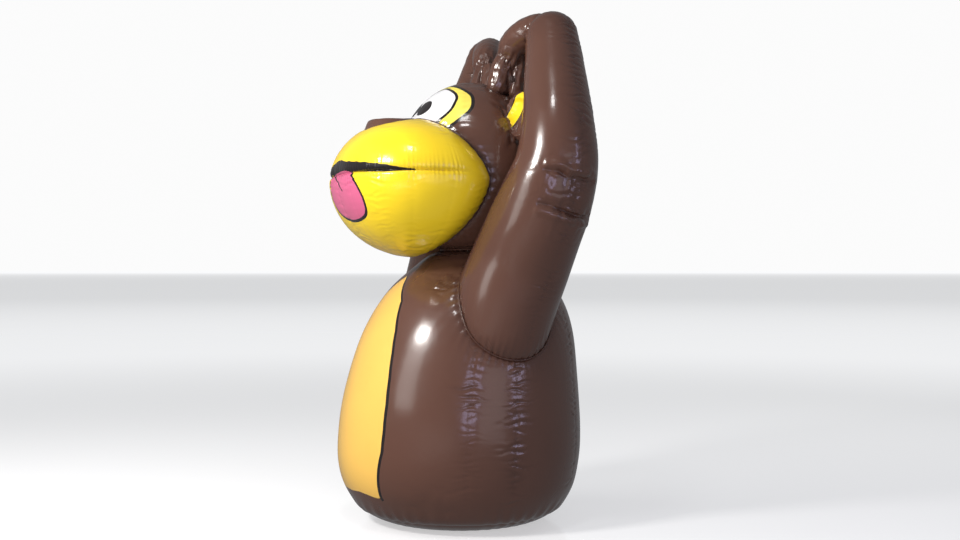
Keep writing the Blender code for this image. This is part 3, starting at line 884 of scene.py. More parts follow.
def make_muzzle(settings):
    """The muzzle's skin, with the mouth drawn in and the mouth, tongue and nose printed."""
    rings, turn, height, ahead = muzzle_base()
    skin = Relief(rings)
    level = height[:, None] + 0.0 * skin.height
    flat = rings - np.array([0.0, -MUZZLE_CENTRE_FRONT, MUZZLE_WIDEST_HEIGHT])
    bearing = np.arctan2(flat[..., 0], -flat[..., 1])
    reach = np.hypot(flat[..., 0], flat[..., 1])
    lower = 1.0 - rise(level, MOUTH_SEAM_HEIGHT - 0.06, MOUTH_SEAM_HEIGHT)
    upper = rise(level, MOUTH_SEAM_HEIGHT, MOUTH_SEAM_HEIGHT + 0.06)
    calm = 0.9 * lower + 0.35 * upper
    for number, seam in enumerate(MUZZLE_SEAMS_DEGREES):
        for side in (1.0, -1.0) if seam else (1.0,):
            apart = turn_apart(bearing, side * seam) * reach
            lifted, _ = seam_relief(apart, level * 1.2, settings, 211 + 7 * number, 0.75)
            skin.height += lifted * calm * rise(reach, 0.02, 0.25)
    mouth = rise(ahead, -0.60, 0.10)[None, :]
    around = turn[None, :] * 0.5 + 0.0 * skin.height
    below = level - MOUTH_SEAM_HEIGHT
    wave = np.sin(FULL_TURN * (around / MOUTH_FOLD_PITCH + 0.6 * line_noise(around, 0.09, 231)))
    uneven = rise(line_noise(around, 0.05, 233), -0.6, 0.6)
    fade = np.exp(-np.abs(below) / (0.020 + 0.022 * uneven + 0.014 * (below > 0.0)))
    skin.add((mouth * MOUTH_FOLD_HEIGHT * wave * fade * (0.35 + 0.75 * uneven), mouth * fade))
    skin.height -= mouth * MOUTH_GROOVE_DEPTH * np.exp(-np.abs(below) / 0.010)
    head = head_field(rings)
    skin.add(weld_relief(rings, head, face_turn(rings), 52, settings, 241), 0.8, 1.0)
    skin.height += 0.003 * noise(rings, 0.24, 251)
    nose = (nose_apart(rings[..., 0], -rings[..., 1]) - 1.0) * NOSE_HALF_DEPTH
    nose = np.where(rings[..., 2] > 2.12, nose, FAR_AWAY)
    skin.height -= 0.003 * bell(nose - 0.006, 0.010)
    rings = skin.moved()
    across = np.abs(rings[..., 0])
    up = rings[..., 2]
    top = np.interp(across, *zip(*MOUTH_UPPER_EDGE))
    bottom = np.interp(across, *zip(*MOUTH_LOWER_EDGE))
    ragged = 0.003 * noise(rings, 0.02, 253)
    band = np.maximum(up - top - ragged, bottom - up)
    in_mouth = (across < MOUTH_HALF_WIDTH) & (rings[..., 1] < MOUTH_BACK)
    in_front = rings[..., 1] < TONGUE_BACK
    tongue = outline_distance(rings[..., 0], up, TONGUE)
    groove = outline_distance(rings[..., 0], up, TONGUE_GROOVE, closed=False)
    fields = {
        "mouth": np.where(in_mouth, band, FAR_AWAY),
        "tongue": np.where(in_front, tongue, FAR_AWAY),
        "groove": np.where(in_front, groove, FAR_AWAY),
        "nose": nose,
        "rear": head,
        "crease": skin.crease,
    }
    ends = [(0.0, -MUZZLE_CENTRE_FRONT, MUZZLE_WIDEST_HEIGHT + way) for way in (-MUZZLE_BELOW, MUZZLE_ABOVE)]
    return build_mesh("muzzle_skin", [(rings, *ends, fields)])


def ear_axes(side):
    """The ear's middle and its directions across, back and up."""
    turn = math.radians(EAR_TURN_DEGREES) * side
    centre = np.array(EAR_CENTRE) * (side, 1.0, 1.0)
    across = np.array([math.cos(turn), math.sin(turn), 0.0])
    back = np.array([-math.sin(turn), math.cos(turn), 0.0])
    return centre, across, back, np.array([0.0, 0.0, 1.0])


def ear_field(points, side):
    """Roughly how far points are outside an ear."""
    centre, across, back, up = ear_axes(side)
    local = points - centre
    reach = np.hypot(local @ across, local @ up)
    return np.maximum(reach - EAR_RADIUS, np.abs(local @ back) - EAR_THICKNESS / 2.0)


def make_ear(name, side, settings):
    """A round cushion with a hollow front and a puckered rim."""
    half = EAR_THICKNESS / 2.0
    outline = [
        (share * EAR_RADIUS, depth, 0.0)
        for share, depth in (
            (0.02, -half + EAR_HOLLOW_DEPTH),
            (0.30, -half + 0.90 * EAR_HOLLOW_DEPTH),
            (0.55, -half + 0.65 * EAR_HOLLOW_DEPTH),
            (0.76, -half),
            (0.92, -0.62 * half),
            (1.00, 0.0),
            (0.94, 0.60 * half),
            (0.75, 0.90 * half),
            (0.40, half),
            (0.02, half),
        )
    ]
    line = smooth_line(outline, EAR_GRID[0])
    centre, across, back, up = ear_axes(side)
    angle = np.linspace(0.0, FULL_TURN, EAR_GRID[1], endpoint=False)
    reach, depth = line[:, 0], line[:, 1]
    sideways = reach[:, None] * np.cos(angle)
    upward = reach[:, None] * np.sin(angle)
    deep = depth[:, None] + 0.0 * angle
    rings = centre + sideways[..., None] * across + deep[..., None] * back + upward[..., None] * up
    skin = Relief(rings)
    from_rim = np.abs(depth)[:, None] + 0.5 * (EAR_RADIUS - reach)[:, None] + 0.0 * angle
    wave = np.sin(30.0 * angle + 1.8 * np.sin(3.0 * angle + side))[None, :]
    uneven = 0.6 + 0.5 * noise(rings, 0.05, 311)
    skin.height = 0.0016 * wave * uneven * np.exp(-from_rim / 0.035)
    skin.height -= 0.004 * np.exp(-from_rim / 0.007)
    head = head_field(rings)
    skin.add(weld_relief(rings, head, angle[None, :] + 0.0 * head, 18, settings, 321), 0.7, 1.0)
    rings = skin.moved()
    leaf_out, leaf_up = EAR_LEAF_MIDDLE
    slanted = sideways * side - leaf_out - EAR_LEAF_SLANT * (upward - leaf_up)
    leaf = np.hypot(slanted / EAR_LEAF_HALF_WIDTH, (upward - leaf_up) / EAR_LEAF_HALF_HEIGHT) - 1.0
    leaf = np.where(deep < 0.012, leaf * EAR_LEAF_HALF_WIDTH, FAR_AWAY)
    rings = rings - skin.normal * (0.007 * rise(leaf, 0.0, 0.02) * crinkle(rings, 0.030, 331))[..., None]
    # Painted shade on the ear, deepest towards its pinched rim
    fields = {"inner": leaf, "crease": np.maximum(skin.crease, np.exp(-from_rim / 0.03))}
    start = centre + (-half + EAR_HOLLOW_DEPTH) * back
    return build_mesh(name, [(rings, start, centre + half * back, fields)])


def sleeve_base(stations, side, rows, columns, softness=0.02, dome_rows=14):
    """Rings round a sleeve with a dome at each end."""
    centres, tangents, first, second, radii, places = sleeve_frames(stations, side, rows, softness)
    along = running_total(np.linalg.norm(np.diff(centres, axis=0), axis=1))
    angle = np.linspace(0.0, FULL_TURN, columns, endpoint=False)
    lift = (np.arange(1, dome_rows) / dome_rows) * math.pi / 2.0
    low = np.stack([np.cos(lift[::-1]), np.sin(lift[::-1])], axis=1)
    high = low[::-1]
    index = np.concatenate([np.zeros(dome_rows - 1, int), np.arange(rows), np.full(dome_rows - 1, rows - 1)])
    share = np.concatenate([low[:, 0], np.ones(rows), high[:, 0]])
    offset = np.concatenate([-low[:, 1], np.zeros(rows), high[:, 1]]) * radii[index]
    middle = centres[index] + tangents[index] * offset[:, None]
    reach = radii[index] * share
    around = first[index][:, None] * np.cos(angle)[:, None] + second[index][:, None] * np.sin(angle)[:, None]
    rings = middle[:, None] + around * reach[:, None, None]
    start = centres[0] - tangents[0] * radii[0]
    end = centres[-1] + tangents[-1] * radii[-1]
    return {
        "rings": rings, "angle": angle, "along": along[index] + offset, "radius": reach,
        "place": places[index] + 0.0 * offset, "start": start, "end": end,
    }


def station_length():
    """Mean distance between the stations of the arm."""
    spots = np.array(ARM_STATIONS)[:, :3]
    return float(np.linalg.norm(np.diff(spots, axis=0), axis=1).mean())


def add_elbow(skin, place, angle, settings, seed):
    """Two creases across the back of the elbow, with the flat facet between them."""
    low, high = ELBOW_CREASES[0][0], ELBOW_CREASES[1][0]
    between = rise(place, low, low + 0.12) * (1.0 - rise(place, high - 0.12, high))
    facet = bell(turn_apart(angle, ELBOW_FACET_TURN_DEGREES), 0.62)[None, :]
    skin.height -= 0.38 * settings.elbow_depth * between * facet
    for number, (station, middle, half_turn) in enumerate(ELBOW_CREASES):
        facet_side = 1.0 - 2.0 * number
        share = turn_apart(angle, middle) / math.radians(half_turn)
        outer = np.sqrt(np.maximum(0.0, 1.0 - share ** 2))[None, :]
        wander = 0.006 * np.sin(3.0 * angle + 1.3 * number)
        wander = wander + 0.010 * line_noise(angle, 0.30, seed + 41 + number)
        apart = (place - station) * station_length() + wander[None, :]
        uneven = 0.78 + 0.32 * line_noise(angle, 0.25, seed + 45 + number)[None, :]
        sharp = np.exp(-np.abs(apart) / 0.0100)
        skin.height -= settings.elbow_depth * sharp * outer * uneven
        lip = bell(apart * facet_side + 0.030, 0.018)
        skin.height += 0.46 * settings.elbow_depth * lip * outer * uneven
        near = np.exp(-np.abs(apart) / 0.055) * np.maximum(outer, 0.5 * bell(share, 1.1)[None, :])
        star = angle * 2.9 + 0.4 * number + 0.3 * line_noise(angle, 0.2, seed + 47)
        star = np.abs(star % 1.0 - 0.5) * 4.0 - 1.0
        skin.height += 0.0052 * star[None, :] * near * (0.5 + 0.8 * noise(skin.rings, 0.07, seed + 49))
        folds = -0.0100 * near * crinkle(skin.rings, 0.040, seed + 53)
        skin.add((folds, np.maximum(sharp * outer, 0.8 * near)))


def make_arm(name, side, settings):
    """An arm's skin, with long seams, two elbow creases and the mitre at its top."""
    sleeve = sleeve_base(ARM_STATIONS, side, *ARM_GRID)
    rings, angle = sleeve["rings"], sleeve["angle"]
    skin = Relief(rings)
    line = sleeve["along"][:, None] + 0.0 * skin.height
    seed = 411 if side > 0.0 else 511
    for number, seam in enumerate(ARM_SEAMS_DEGREES):
        apart = turn_apart(angle, seam)[None, :] * sleeve["radius"][:, None]
        calm = 1.0 if number != 1 else rise(line, 0.95, 1.25)
        skin.add(seam_relief(apart, line, settings, seed + 7 * number, 0.85), calm)
    add_elbow(skin, sleeve["place"][:, None], angle, settings, seed)
    body = body_field(rings)
    skin.add(weld_relief(rings, body, angle[None, :] + 0.0 * body, 44, settings, 431), 0.8, 1.0)
    wrist, around = sleeve_field(rings, wrist_stations(side), side)
    skin.add(weld_relief(rings, wrist, around, 18, settings, 441))
    skin.height += 0.003 * noise(rings, 0.19, seed + 61)
    shells = [(skin.moved(), sleeve["start"], sleeve["end"], {"crease": skin.crease})]
    return build_mesh(name, shells)


def make_hand(name, side, settings):
    """A wrist, palm and four fingers, each pinched where it meets the next."""
    parts = [sleeve_base(wrist_stations(side), side, *WRIST_GRID, 0.01)]
    palm, _, turn, ends = egg_rings(palm_centre(side), PALM_RADII, *PALM_GRID)
    parts.append({"rings": palm, "angle": turn, "start": ends[0], "end": ends[1]})
    for finger in FINGERS:
        parts.append(sleeve_base(finger_stations(finger, side), side, *FINGER_GRID, 0.01, 12))
    shells = []
    for number, part in enumerate(parts):
        rings = part["rings"]
        skin = Relief(rings)
        others = hand_fields(rings, side)
        others.pop(number)
        field = np.minimum.reduce(others)
        spin = part["angle"][None, :] + 0.0 * field
        seed = 611 + 13 * number + (100 if side < 0.0 else 0)
        folds = np.sin(11.0 * spin + 3.0 * noise(rings, 0.07, seed))
        near = np.exp(-np.abs(field) / 0.028)
        pinch = np.exp(-np.abs(field) / 0.008)
        skin.height = HAND_FOLD_HEIGHT * folds * near - HAND_PINCH_DEPTH * pinch
        skin.height -= HAND_CRINKLE_DEPTH * crinkle(rings, 0.040, seed + 3) * (0.25 + 0.75 * near)
        head = head_field(rings)
        skin.height -= HAND_REST_DEPTH * np.exp(-np.abs(head) / 0.010)
        arm, around = sleeve_field(rings, ARM_STATIONS, side)
        skin.height -= HAND_REST_DEPTH * np.exp(-np.abs(arm) / 0.010)
        skin.height += 0.002 * np.sin(20.0 * around) * np.exp(-np.abs(arm) / 0.05)
        # Painted shade on the hand beside its joins and where it rests on the head
        fields = {"crease": np.maximum(near, np.exp(-np.abs(head) / 0.02))}
        shells.append((skin.moved(), part["start"], part["end"], fields))
    return build_mesh(name, shells)


class Shade:
    """A shader value. Plain arithmetic on it adds Math nodes."""

    def __init__(self, tree, socket):
        self.tree = tree
        self.socket = socket

    def math(self, operation, first, second=None):
        """Adds one Math node."""
        values = {0: first} if second is None else {0: first, 1: second}
        return self.node("ShaderNodeMath", {"operation": operation}, values)

    def node(self, kind, settings=None, values=None, output=0):
        """Adds any node: its settings first, then the values or links of its sockets."""
        made = self.tree.nodes.new(kind)
        for name, value in (settings or {}).items():
            setattr(made, name, value)
        for key, value in (values or {}).items():
            socket = made.inputs[key]
            if isinstance(value, Shade):
                self.tree.links.new(value.socket, socket)
            else:
                socket.default_value = value
        return Shade(self.tree, made.outputs[output])

    def __add__(self, other):
        return self.math("ADD", self, other)

    def __radd__(self, other):
        return self.math("ADD", other, self)

    def __sub__(self, other):
        return self.math("SUBTRACT", self, other)

    def __rsub__(self, other):
        return self.math("SUBTRACT", other, self)

    def __mul__(self, other):
        return self.math("MULTIPLY", self, other)

    def __rmul__(self, other):
        return self.math("MULTIPLY", other, self)

    def grain(self, scale, detail, **values):
        """A cloudy pattern, where this value is the place."""
        values = {"Vector": self, "Scale": scale, "Detail": detail, **values}
        return self.node("ShaderNodeTexNoise", None, values)

    def bump(self, strength, distance):
        """A bump with this value as its height."""
        values = {"Height": self, "Strength": strength, "Distance": distance}
        return self.node("ShaderNodeBump", None, values)

    def feed(self, shader, name):
        """Links this value to a socket of the shader."""
        self.tree.links.new(self.socket, shader.inputs[name])

    def clamped(self):
        """The value kept from 0 to 1."""
        return self.node("ShaderNodeClamp", None, {0: self, 1: 0.0, 2: 1.0})

    def mixed(self, colour, mask):
        """This colour with another laid over it by a mask."""
        settings = {"data_type": "RGBA"}
        return self.node("ShaderNodeMix", settings, {0: mask, 6: self, 7: colour}, 2)

    def inside(self, edge=0.0, softness=0.0012):
        """A crisp mask, one where a distance in metres is below an edge."""
        return ((edge - self) * (1.0 / softness) + 0.5).clamped()

    def line(self, half_width):
        """A crisp mask on both sides of an outline."""
        return self.math("ABSOLUTE", self).inside(half_width)


def rgba(colour):
    """A colour with full cover."""
    return (colour[0], colour[1], colour[2], 1.0)


def new_material(name, colour=(0.0, 0.0, 0.0)):
    """A material with its shader, the place on the piece and a colour, as values to build on."""
    material = bpy.data.materials.new(name)
    material.use_nodes = True
    seed = Shade(material.node_tree, None)
    place = seed.node("ShaderNodeTexCoord", None, None, 3)
    base = seed.node("ShaderNodeRGB")
    base.socket.default_value = rgba(colour)
    return material, material.node_tree.nodes["Principled BSDF"], place, base


def attribute(base, name):
    """A value stored on the piece."""
    return base.node("ShaderNodeAttribute", {"attribute_name": name}, None, 2)


def coated_skin(name, finish, paint):
    """Glossy coated fabric. The paint function lays the printed colours over the base, then creases, puckers
    and joins are darkened with painted shade.
    """
    material, shader, place, base = new_material(name, finish.brown)
    crease = attribute(base, "crease").clamped()
    cloud = place.grain(3.2, 3.0)
    fine = place.grain(26.0, 4.0, Roughness=0.6)
    smear = place.grain(9.0, 5.0, Distortion=0.8)
    wrinkle = place.grain(48.0, 3.0, Distortion=1.4)
    colour = paint(base)
    # Painted shade in creases, puckers and beside joins, plus a random cloudy tone
    crease_shade_and_tone = (crease * 0.44 + (0.5 - cloud) * 0.35).clamped()
    settings = {"data_type": "RGBA", "blend_type": "MULTIPLY"}
    dark = base.node("ShaderNodeMix", settings, {0: crease_shade_and_tone, 6: colour, 7: (0.45, 0.40, 0.40, 1.0)}, 2)
    dark.feed(shader, "Base Color")
    rough = finish.roughness + (smear - 0.5) * 0.16 + crease * 0.05
    rough.clamped().feed(shader, "Roughness")
    shader.inputs["Coat Weight"].default_value = finish.coat
    shader.inputs["Coat Roughness"].default_value = 0.10
    shader.inputs["IOR"].default_value = 1.5
    height = cloud * 0.5 + fine * 0.05 + wrinkle * crease * 0.22
    height.bump(0.5, 0.010).feed(shader, "Normal")
    return material


def body_paint(finish):
    """Yellow belly with a black line down each side."""
    def paint(base):
        belly = attribute(base, "belly")
        side = attribute(base, "belly_side")
        colour = base.mixed(rgba(finish.belly), belly.inside())
        line = (side - 0.004).line(LINE_HALF_WIDTHS["belly"]) * belly.inside(0.020)
        return colour.mixed(rgba(finish.line), line)
    return paint


def head_paint(finish):
    """White eyes with black pupils, in a yellow surround."""
    def paint(base):
        white = attribute(base, "white")
        surround = attribute(base, "surround")
        pupil = attribute(base, "pupil")
        colour = base.mixed(rgba(finish.eye_surround), surround.inside())
        colour = colour.mixed(rgba(finish.line), surround.line(LINE_HALF_WIDTHS["eye surround"]))
        colour = colour.mixed(rgba(finish.eye_white), white.inside())
        colour = colour.mixed(rgba(finish.line), white.line(LINE_HALF_WIDTHS["eye white"]))
        return colour.mixed(rgba(finish.line), pupil.inside())
    return paint


def muzzle_paint(finish):
    """Yellow, with the mouth, tongue, nose and a black band at its rear edge."""
    def paint(base):
        yellow = base.mixed(rgba(finish.muzzle), 1.0)
        tongue = attribute(base, "tongue")
        colour = yellow.mixed(rgba(finish.line), attribute(base, "mouth").inside())
        colour = colour.mixed(rgba(finish.tongue), tongue.inside())
        colour = colour.mixed(rgba(finish.line), tongue.line(LINE_HALF_WIDTHS["tongue"]))
        groove = attribute(base, "groove").inside(LINE_HALF_WIDTHS["groove"]) * tongue.inside()
        colour = colour.mixed(rgba(finish.line), groove)
        nose = attribute(base, "nose")
        colour = colour.mixed(rgba(finish.brown), nose.inside(0.004))
        # A black band along the muzzle's rear edge, where it meets the head
        rear = attribute(base, "rear").inside(LINE_HALF_WIDTHS["muzzle rear"])
        return colour.mixed(rgba(finish.line), rear)
    return paint


def ear_paint(finish):
    """A yellow disc inside the ear."""
    def paint(base):
        inner = attribute(base, "inner")
        colour = base.mixed(rgba(finish.muzzle), inner.inside())
        return colour.mixed(rgba(finish.line), inner.line(LINE_HALF_WIDTHS["ear"]))
    return paint


def plain_paint(base):
    """Nothing printed."""
    return base


def weld_material(finish):
    """The darker fillet of a weld."""
    material, shader, place, base = new_material("weld_fillet", [0.45 * part for part in finish.brown])
    grain = place.grain(60.0, 3.0)
    base.mixed(rgba(finish.brown), grain).feed(shader, "Base Color")
    (0.20 + grain * 0.20).feed(shader, "Roughness")
    grain.bump(0.4, 0.003).feed(shader, "Normal")
    return material


def valve_material(finish):
    """Moulded plastic with a fine grain and a worn cap."""
    material, shader, place, base = new_material("valve_plastic", finish.valve)
    grain = place.grain(420.0, 2.0)
    wear = place.grain(70.0, 4.0)
    worn = rgba([min(1.0, 1.7 * part) for part in finish.valve])
    base.mixed(worn, wear).feed(shader, "Base Color")
    (0.28 + wear * 0.22).feed(shader, "Roughness")
    grain.bump(0.25, 0.0006).feed(shader, "Normal")
    return material


def bead_tree():
    """Geometry nodes that run a round bead along a line."""
    tree = bpy.data.node_groups.new("weld_bead", "GeometryNodeTree")
    sockets = {}
    for name, kind, way in (
        ("Line", "NodeSocketGeometry", "INPUT"),
        ("Bead radius", "NodeSocketFloat", "INPUT"),
        ("Bead sides", "NodeSocketInt", "INPUT"),
        ("Finish", "NodeSocketMaterial", "INPUT"),
        ("Bead", "NodeSocketGeometry", "OUTPUT"),
    ):
        sockets[name] = tree.interface.new_socket(name, in_out=way, socket_type=kind)
    start = tree.nodes.new("NodeGroupInput")
    profile = tree.nodes.new("GeometryNodeCurvePrimitiveCircle")
    sweep = tree.nodes.new("GeometryNodeCurveToMesh")
    real = tree.nodes.new("GeometryNodeRealizeInstances")
    finish = tree.nodes.new("GeometryNodeSetMaterial")
    end = tree.nodes.new("NodeGroupOutput")
    tree.links.new(start.outputs["Bead radius"], profile.inputs["Radius"])
    tree.links.new(start.outputs["Bead sides"], profile.inputs["Resolution"])
    tree.links.new(start.outputs["Line"], sweep.inputs["Curve"])
    tree.links.new(profile.outputs["Curve"], sweep.inputs["Profile Curve"])
    tree.links.new(sweep.outputs["Mesh"], real.inputs["Geometry"])
    tree.links.new(real.outputs["Geometry"], finish.inputs["Geometry"])
    tree.links.new(start.outputs["Finish"], finish.inputs["Material"])
    tree.links.new(finish.outputs["Geometry"], end.inputs["Bead"])
    return tree, sockets


def weld_lines():
    """The closed lines where the pieces of the figure meet."""
    lines = {}
    head = head_base()[0]
    muzzle = muzzle_base()[0]
    lines["muzzle_weld"] = crossing_line(muzzle, head_field(muzzle), face_turn, MUZZLE_BEAD_STEPS)
    neck_turn = lambda points: np.arctan2(points[..., 0], -points[..., 1])
    lines["neck_weld"] = crossing_line(head, body_field(head), neck_turn, NECK_BEAD_STEPS)
    for name, side in SIDES.items():
        sleeve = sleeve_base(ARM_STATIONS, side, *ARM_GRID)["rings"]
        shoulder = lambda points, side=side: sleeve_field(points, ARM_STATIONS, side)[1]
        crossing = crossing_line(sleeve, body_field(sleeve), shoulder, SHOULDER_BEAD_STEPS)
        lines[f"{name}_shoulder_weld"] = crossing
    return lines


def make_welds(settings, material):
    """A bead along each weld, as plain meshes."""
    tree, sockets = bead_tree()
    made = {}
    for name, points in weld_lines().items():
        curve = bpy.data.curves.new(name, "CURVE")
        curve.dimensions = "3D"
        spline = curve.splines.new("POLY")
        spline.points.add(len(points) - 1)
        spline.points.foreach_set("co", np.column_stack([points, np.ones(len(points))]).ravel())
        spline.use_cyclic_u = True
        guide = bpy.data.objects.new(name + "_guide", curve)
        bpy.context.scene.collection.objects.link(guide)
        step = guide.modifiers.new("bead", "NODES")
        step.node_group = tree
        step[sockets["Bead radius"].identifier] = settings.bead_radius
        step[sockets["Bead sides"].identifier] = BEAD_SIDES
        step[sockets["Finish"].identifier] = material
        bpy.context.view_layer.update()
        evaluated = guide.evaluated_get(bpy.context.evaluated_depsgraph_get())
        mesh = bpy.data.meshes.new_from_object(evaluated)
        mesh.name = name
        mesh.shade_smooth()
        bpy.data.objects.remove(guide, do_unlink=True)
        made[name] = mesh
    return made


def make_floor():
    """A wide pale floor with painted glow, dimmed to a soft grey band before the horizon."""
    reach = FLOOR_REACH
    verts = [(-reach, -reach, 0.0), (reach, -reach, 0.0), (reach, reach, 0.0), (-reach, reach, 0.0)]
    mesh = bpy.data.meshes.new("studio_floor")
    mesh.from_pydata(verts, [], [(0, 1, 2, 3)])
    material, shader, place, _ = new_material("studio_paper")
    away = place.node("ShaderNodeVectorMath", {"operation": "LENGTH"}, {0: place}, 1)

    def fade(near, far, start, end):
        """Brightness from start to end, between two distances from the figure."""
        smooth = {"interpolation_type": "SMOOTHSTEP"}
        return place.node("ShaderNodeMapRange", smooth, {0: away, 1: near, 2: far, 3: start, 4: end})

    # Painted light: the floor glows, brighter away from the figure, dimmer in a grey band, then brighter
    # again towards the horizon
    glow = fade(4.0, 15.0, 0.46, 0.66) + fade(12.0, 60.0, 0.0, -0.17) + fade(90.0, 700.0, 0.0, 0.28)
    colour = place.node("ShaderNodeCombineColor", None, {0: glow, 1: glow, 2: glow * 1.005})
    colour.feed(shader, "Emission Color")
    shader.inputs["Emission Strength"].default_value = 1.0
    shader.inputs["Base Color"].default_value = (0.80, 0.80, 0.81, 1.0)
    shader.inputs["Roughness"].default_value = 0.09
    shader.inputs["IOR"].default_value = 2.2
    mesh.materials.append(material)
    floor = bpy.data.objects.new("studio_floor", mesh)
    floor.visible_diffuse = False
    floor.visible_glossy = False
    bpy.context.scene.collection.objects.link(floor)


def make_world(scene, stage):
    """A soft even sky for the figure, with white paper behind it for the camera."""
    world = scene.world or bpy.data.worlds.new("studio")
    scene.world = world
    world.use_nodes = True
    tree = world.node_tree
    tree.nodes.clear()
    seed = Shade(tree, None)
    sky = seed.node("ShaderNodeBackground", None, {0: (0.93, 0.96, 1.0, 1.0), 1: stage.sky})
    paper = seed.node("ShaderNodeBackground", None, {0: (1.0, 1.0, 1.0, 1.0), 1: 0.97})
    seen = seed.node("ShaderNodeLightPath")
    both = seed.node("ShaderNodeMixShader", None, {0: seen, 1: sky, 2: paper})
    end = tree.nodes.new("ShaderNodeOutputWorld")
    tree.links.new(both.socket, end.inputs["Surface"])
    scene.view_settings.view_transform = "Standard"


def add_softbox(name, azimuth, distance, height, size, power, colour, aim_height, seen_in_gloss):
    """A rectangular soft light, placed round the figure by its azimuth."""
    lamp = bpy.data.lights.new(name, "AREA")
    lamp.shape = "RECTANGLE"
    lamp.size, lamp.size_y = size
    lamp.energy = power
    lamp.color = colour
    holder = bpy.data.objects.new(name, lamp)
    turn = math.radians(azimuth)
    place = Vector((distance * math.sin(turn), -distance * math.cos(turn), height))
    aim = Vector((0.0, 0.0, aim_height)) - place
    holder.location = place
    holder.rotation_euler = aim.to_track_quat("-Z", "Y").to_euler()
    holder.visible_camera = False
    holder.visible_glossy = seen_in_gloss
    bpy.context.scene.collection.objects.link(holder)


def add_pair(kind, make, settings, material):
    """Adds the left and the right one of a kind of piece."""
    for name, side in SIDES.items():
        piece = f"{name}_{kind}_skin"
        add_piece(piece, make(piece, side, settings), material)


class MonkeyFinish(bpy.types.PropertyGroup):
    """Colours and gloss of the coated skin."""
    brown: bpy.props.FloatVectorProperty(
        name="Brown", description="Colour of the plain skin", subtype="COLOR", default=(0.102, 0.046, 0.032))
    muzzle: bpy.props.FloatVectorProperty(
        name="Muzzle yellow", description="Colour of the muzzle",
        subtype="COLOR", default=(0.96, 0.68, 0.020))
    belly: bpy.props.FloatVectorProperty(
        name="Belly yellow", description="Colour of the belly panel",
        subtype="COLOR", default=(0.84, 0.50, 0.105))
    eye_surround: bpy.props.FloatVectorProperty(
        name="Eye surround", description="Colour round the eyes",
        subtype="COLOR", default=(0.93, 0.78, 0.12))
    eye_white: bpy.props.FloatVectorProperty(
        name="Eye white", description="Colour of the eyes", subtype="COLOR", default=(0.86, 0.86, 0.88))
    tongue: bpy.props.FloatVectorProperty(
        name="Tongue", description="Colour of the tongue", subtype="COLOR", default=(0.66, 0.13, 0.26))
    line: bpy.props.FloatVectorProperty(
        name="Printed line", description="Colour of the printed outlines", subtype="COLOR",
        default=(0.014, 0.010, 0.010))
    valve: bpy.props.FloatVectorProperty(
        name="Valve", description="Colour of the valve", subtype="COLOR", default=(0.050, 0.032, 0.028))
    roughness: bpy.props.FloatProperty(
        name="Roughness", description="Roughness of the coating",
        subtype="FACTOR", min=0.0, max=1.0, default=0.22)
    coat: bpy.props.FloatProperty(
        name="Clear coat", description="Strength of the clear coating", subtype="FACTOR", min=0.0, max=1.0,
        default=0.35)


class MonkeySeams(bpy.types.PropertyGroup):
    """Sizes of the welded seams and their puckers."""
    seam_depth: bpy.props.FloatProperty(
        name="Seam depth", description="How far a long seam draws the skin in", unit="LENGTH", default=0.002)
    seam_width: bpy.props.FloatProperty(
        name="Seam width", description="How wide the groove of a seam is", unit="LENGTH", default=0.014)
    pucker_height: bpy.props.FloatProperty(
        name="Pucker height", description="Depth of the puckers across a seam",
        unit="LENGTH", default=0.0070)
    pucker_width: bpy.props.FloatProperty(
        name="Pucker width", description="Half the width of one pucker", unit="LENGTH", default=0.0070)
    pucker_pitch: bpy.props.FloatProperty(
        name="Pucker pitch", description="Distance between puckers", unit="LENGTH", default=0.034)
    pucker_reach: bpy.props.FloatProperty(
        name="Pucker reach", description="How far puckers run from a seam", unit="LENGTH", default=0.072)
    weld_depth: bpy.props.FloatProperty(
        name="Weld depth", description="How far a joining weld draws the skin in",
        unit="LENGTH", default=0.012)
    weld_width: bpy.props.FloatProperty(
        name="Weld width", description="Width of the pinch beside a joining weld",
        unit="LENGTH", default=0.014)
    weld_fold_height: bpy.props.FloatProperty(
        name="Weld folds", description="Height of the folds beside a joining weld",
        unit="LENGTH", default=0.0038)
    weld_reach: bpy.props.FloatProperty(
        name="Weld fold reach", description="How far folds run from a joining weld",
        unit="LENGTH", default=0.045)
    elbow_depth: bpy.props.FloatProperty(
        name="Elbow crease", description="Depth of the creases beside the elbow",
        unit="LENGTH", default=0.042)
    bead_radius: bpy.props.FloatProperty(
        name="Bead radius", description="Radius of the fillet along a weld", unit="LENGTH", default=0.0045)


class MonkeyStage(bpy.types.PropertyGroup):
    """The camera and the studio light."""
    azimuth: bpy.props.FloatProperty(
        name="Camera azimuth", description="Turn of the camera round the figure, from the front, in degrees",
        default=68.0)
    distance: bpy.props.FloatProperty(
        name="Camera distance", description="From the camera to the figure's axis",
        unit="LENGTH", default=7.0)
    height: bpy.props.FloatProperty(
        name="Camera height", description="Height of the camera", unit="LENGTH", default=1.43)
    lens: bpy.props.FloatProperty(
        name="Lens", description="Focal length in millimetres", default=45.15)
    shift: bpy.props.FloatProperty(
        name="Shift", description="Sideways shift of the picture", default=0.0208)
    key_power: bpy.props.FloatProperty(
        name="Key power", description="Power of the front softbox", unit="POWER", default=265.0)
    fill_power: bpy.props.FloatProperty(
        name="Fill power", description="Power of the wide soft lights", unit="POWER", default=130.0)
    strip_power: bpy.props.FloatProperty(
        name="Strip power", description="Power of each cool window light", unit="POWER", default=48.0)
    sky: bpy.props.FloatProperty(
        name="Sky", description="Strength of the even light all round", default=0.22)


class MonkeyOperator:
    """What every operator of the figure shares."""
    bl_options = {"REGISTER", "UNDO"}


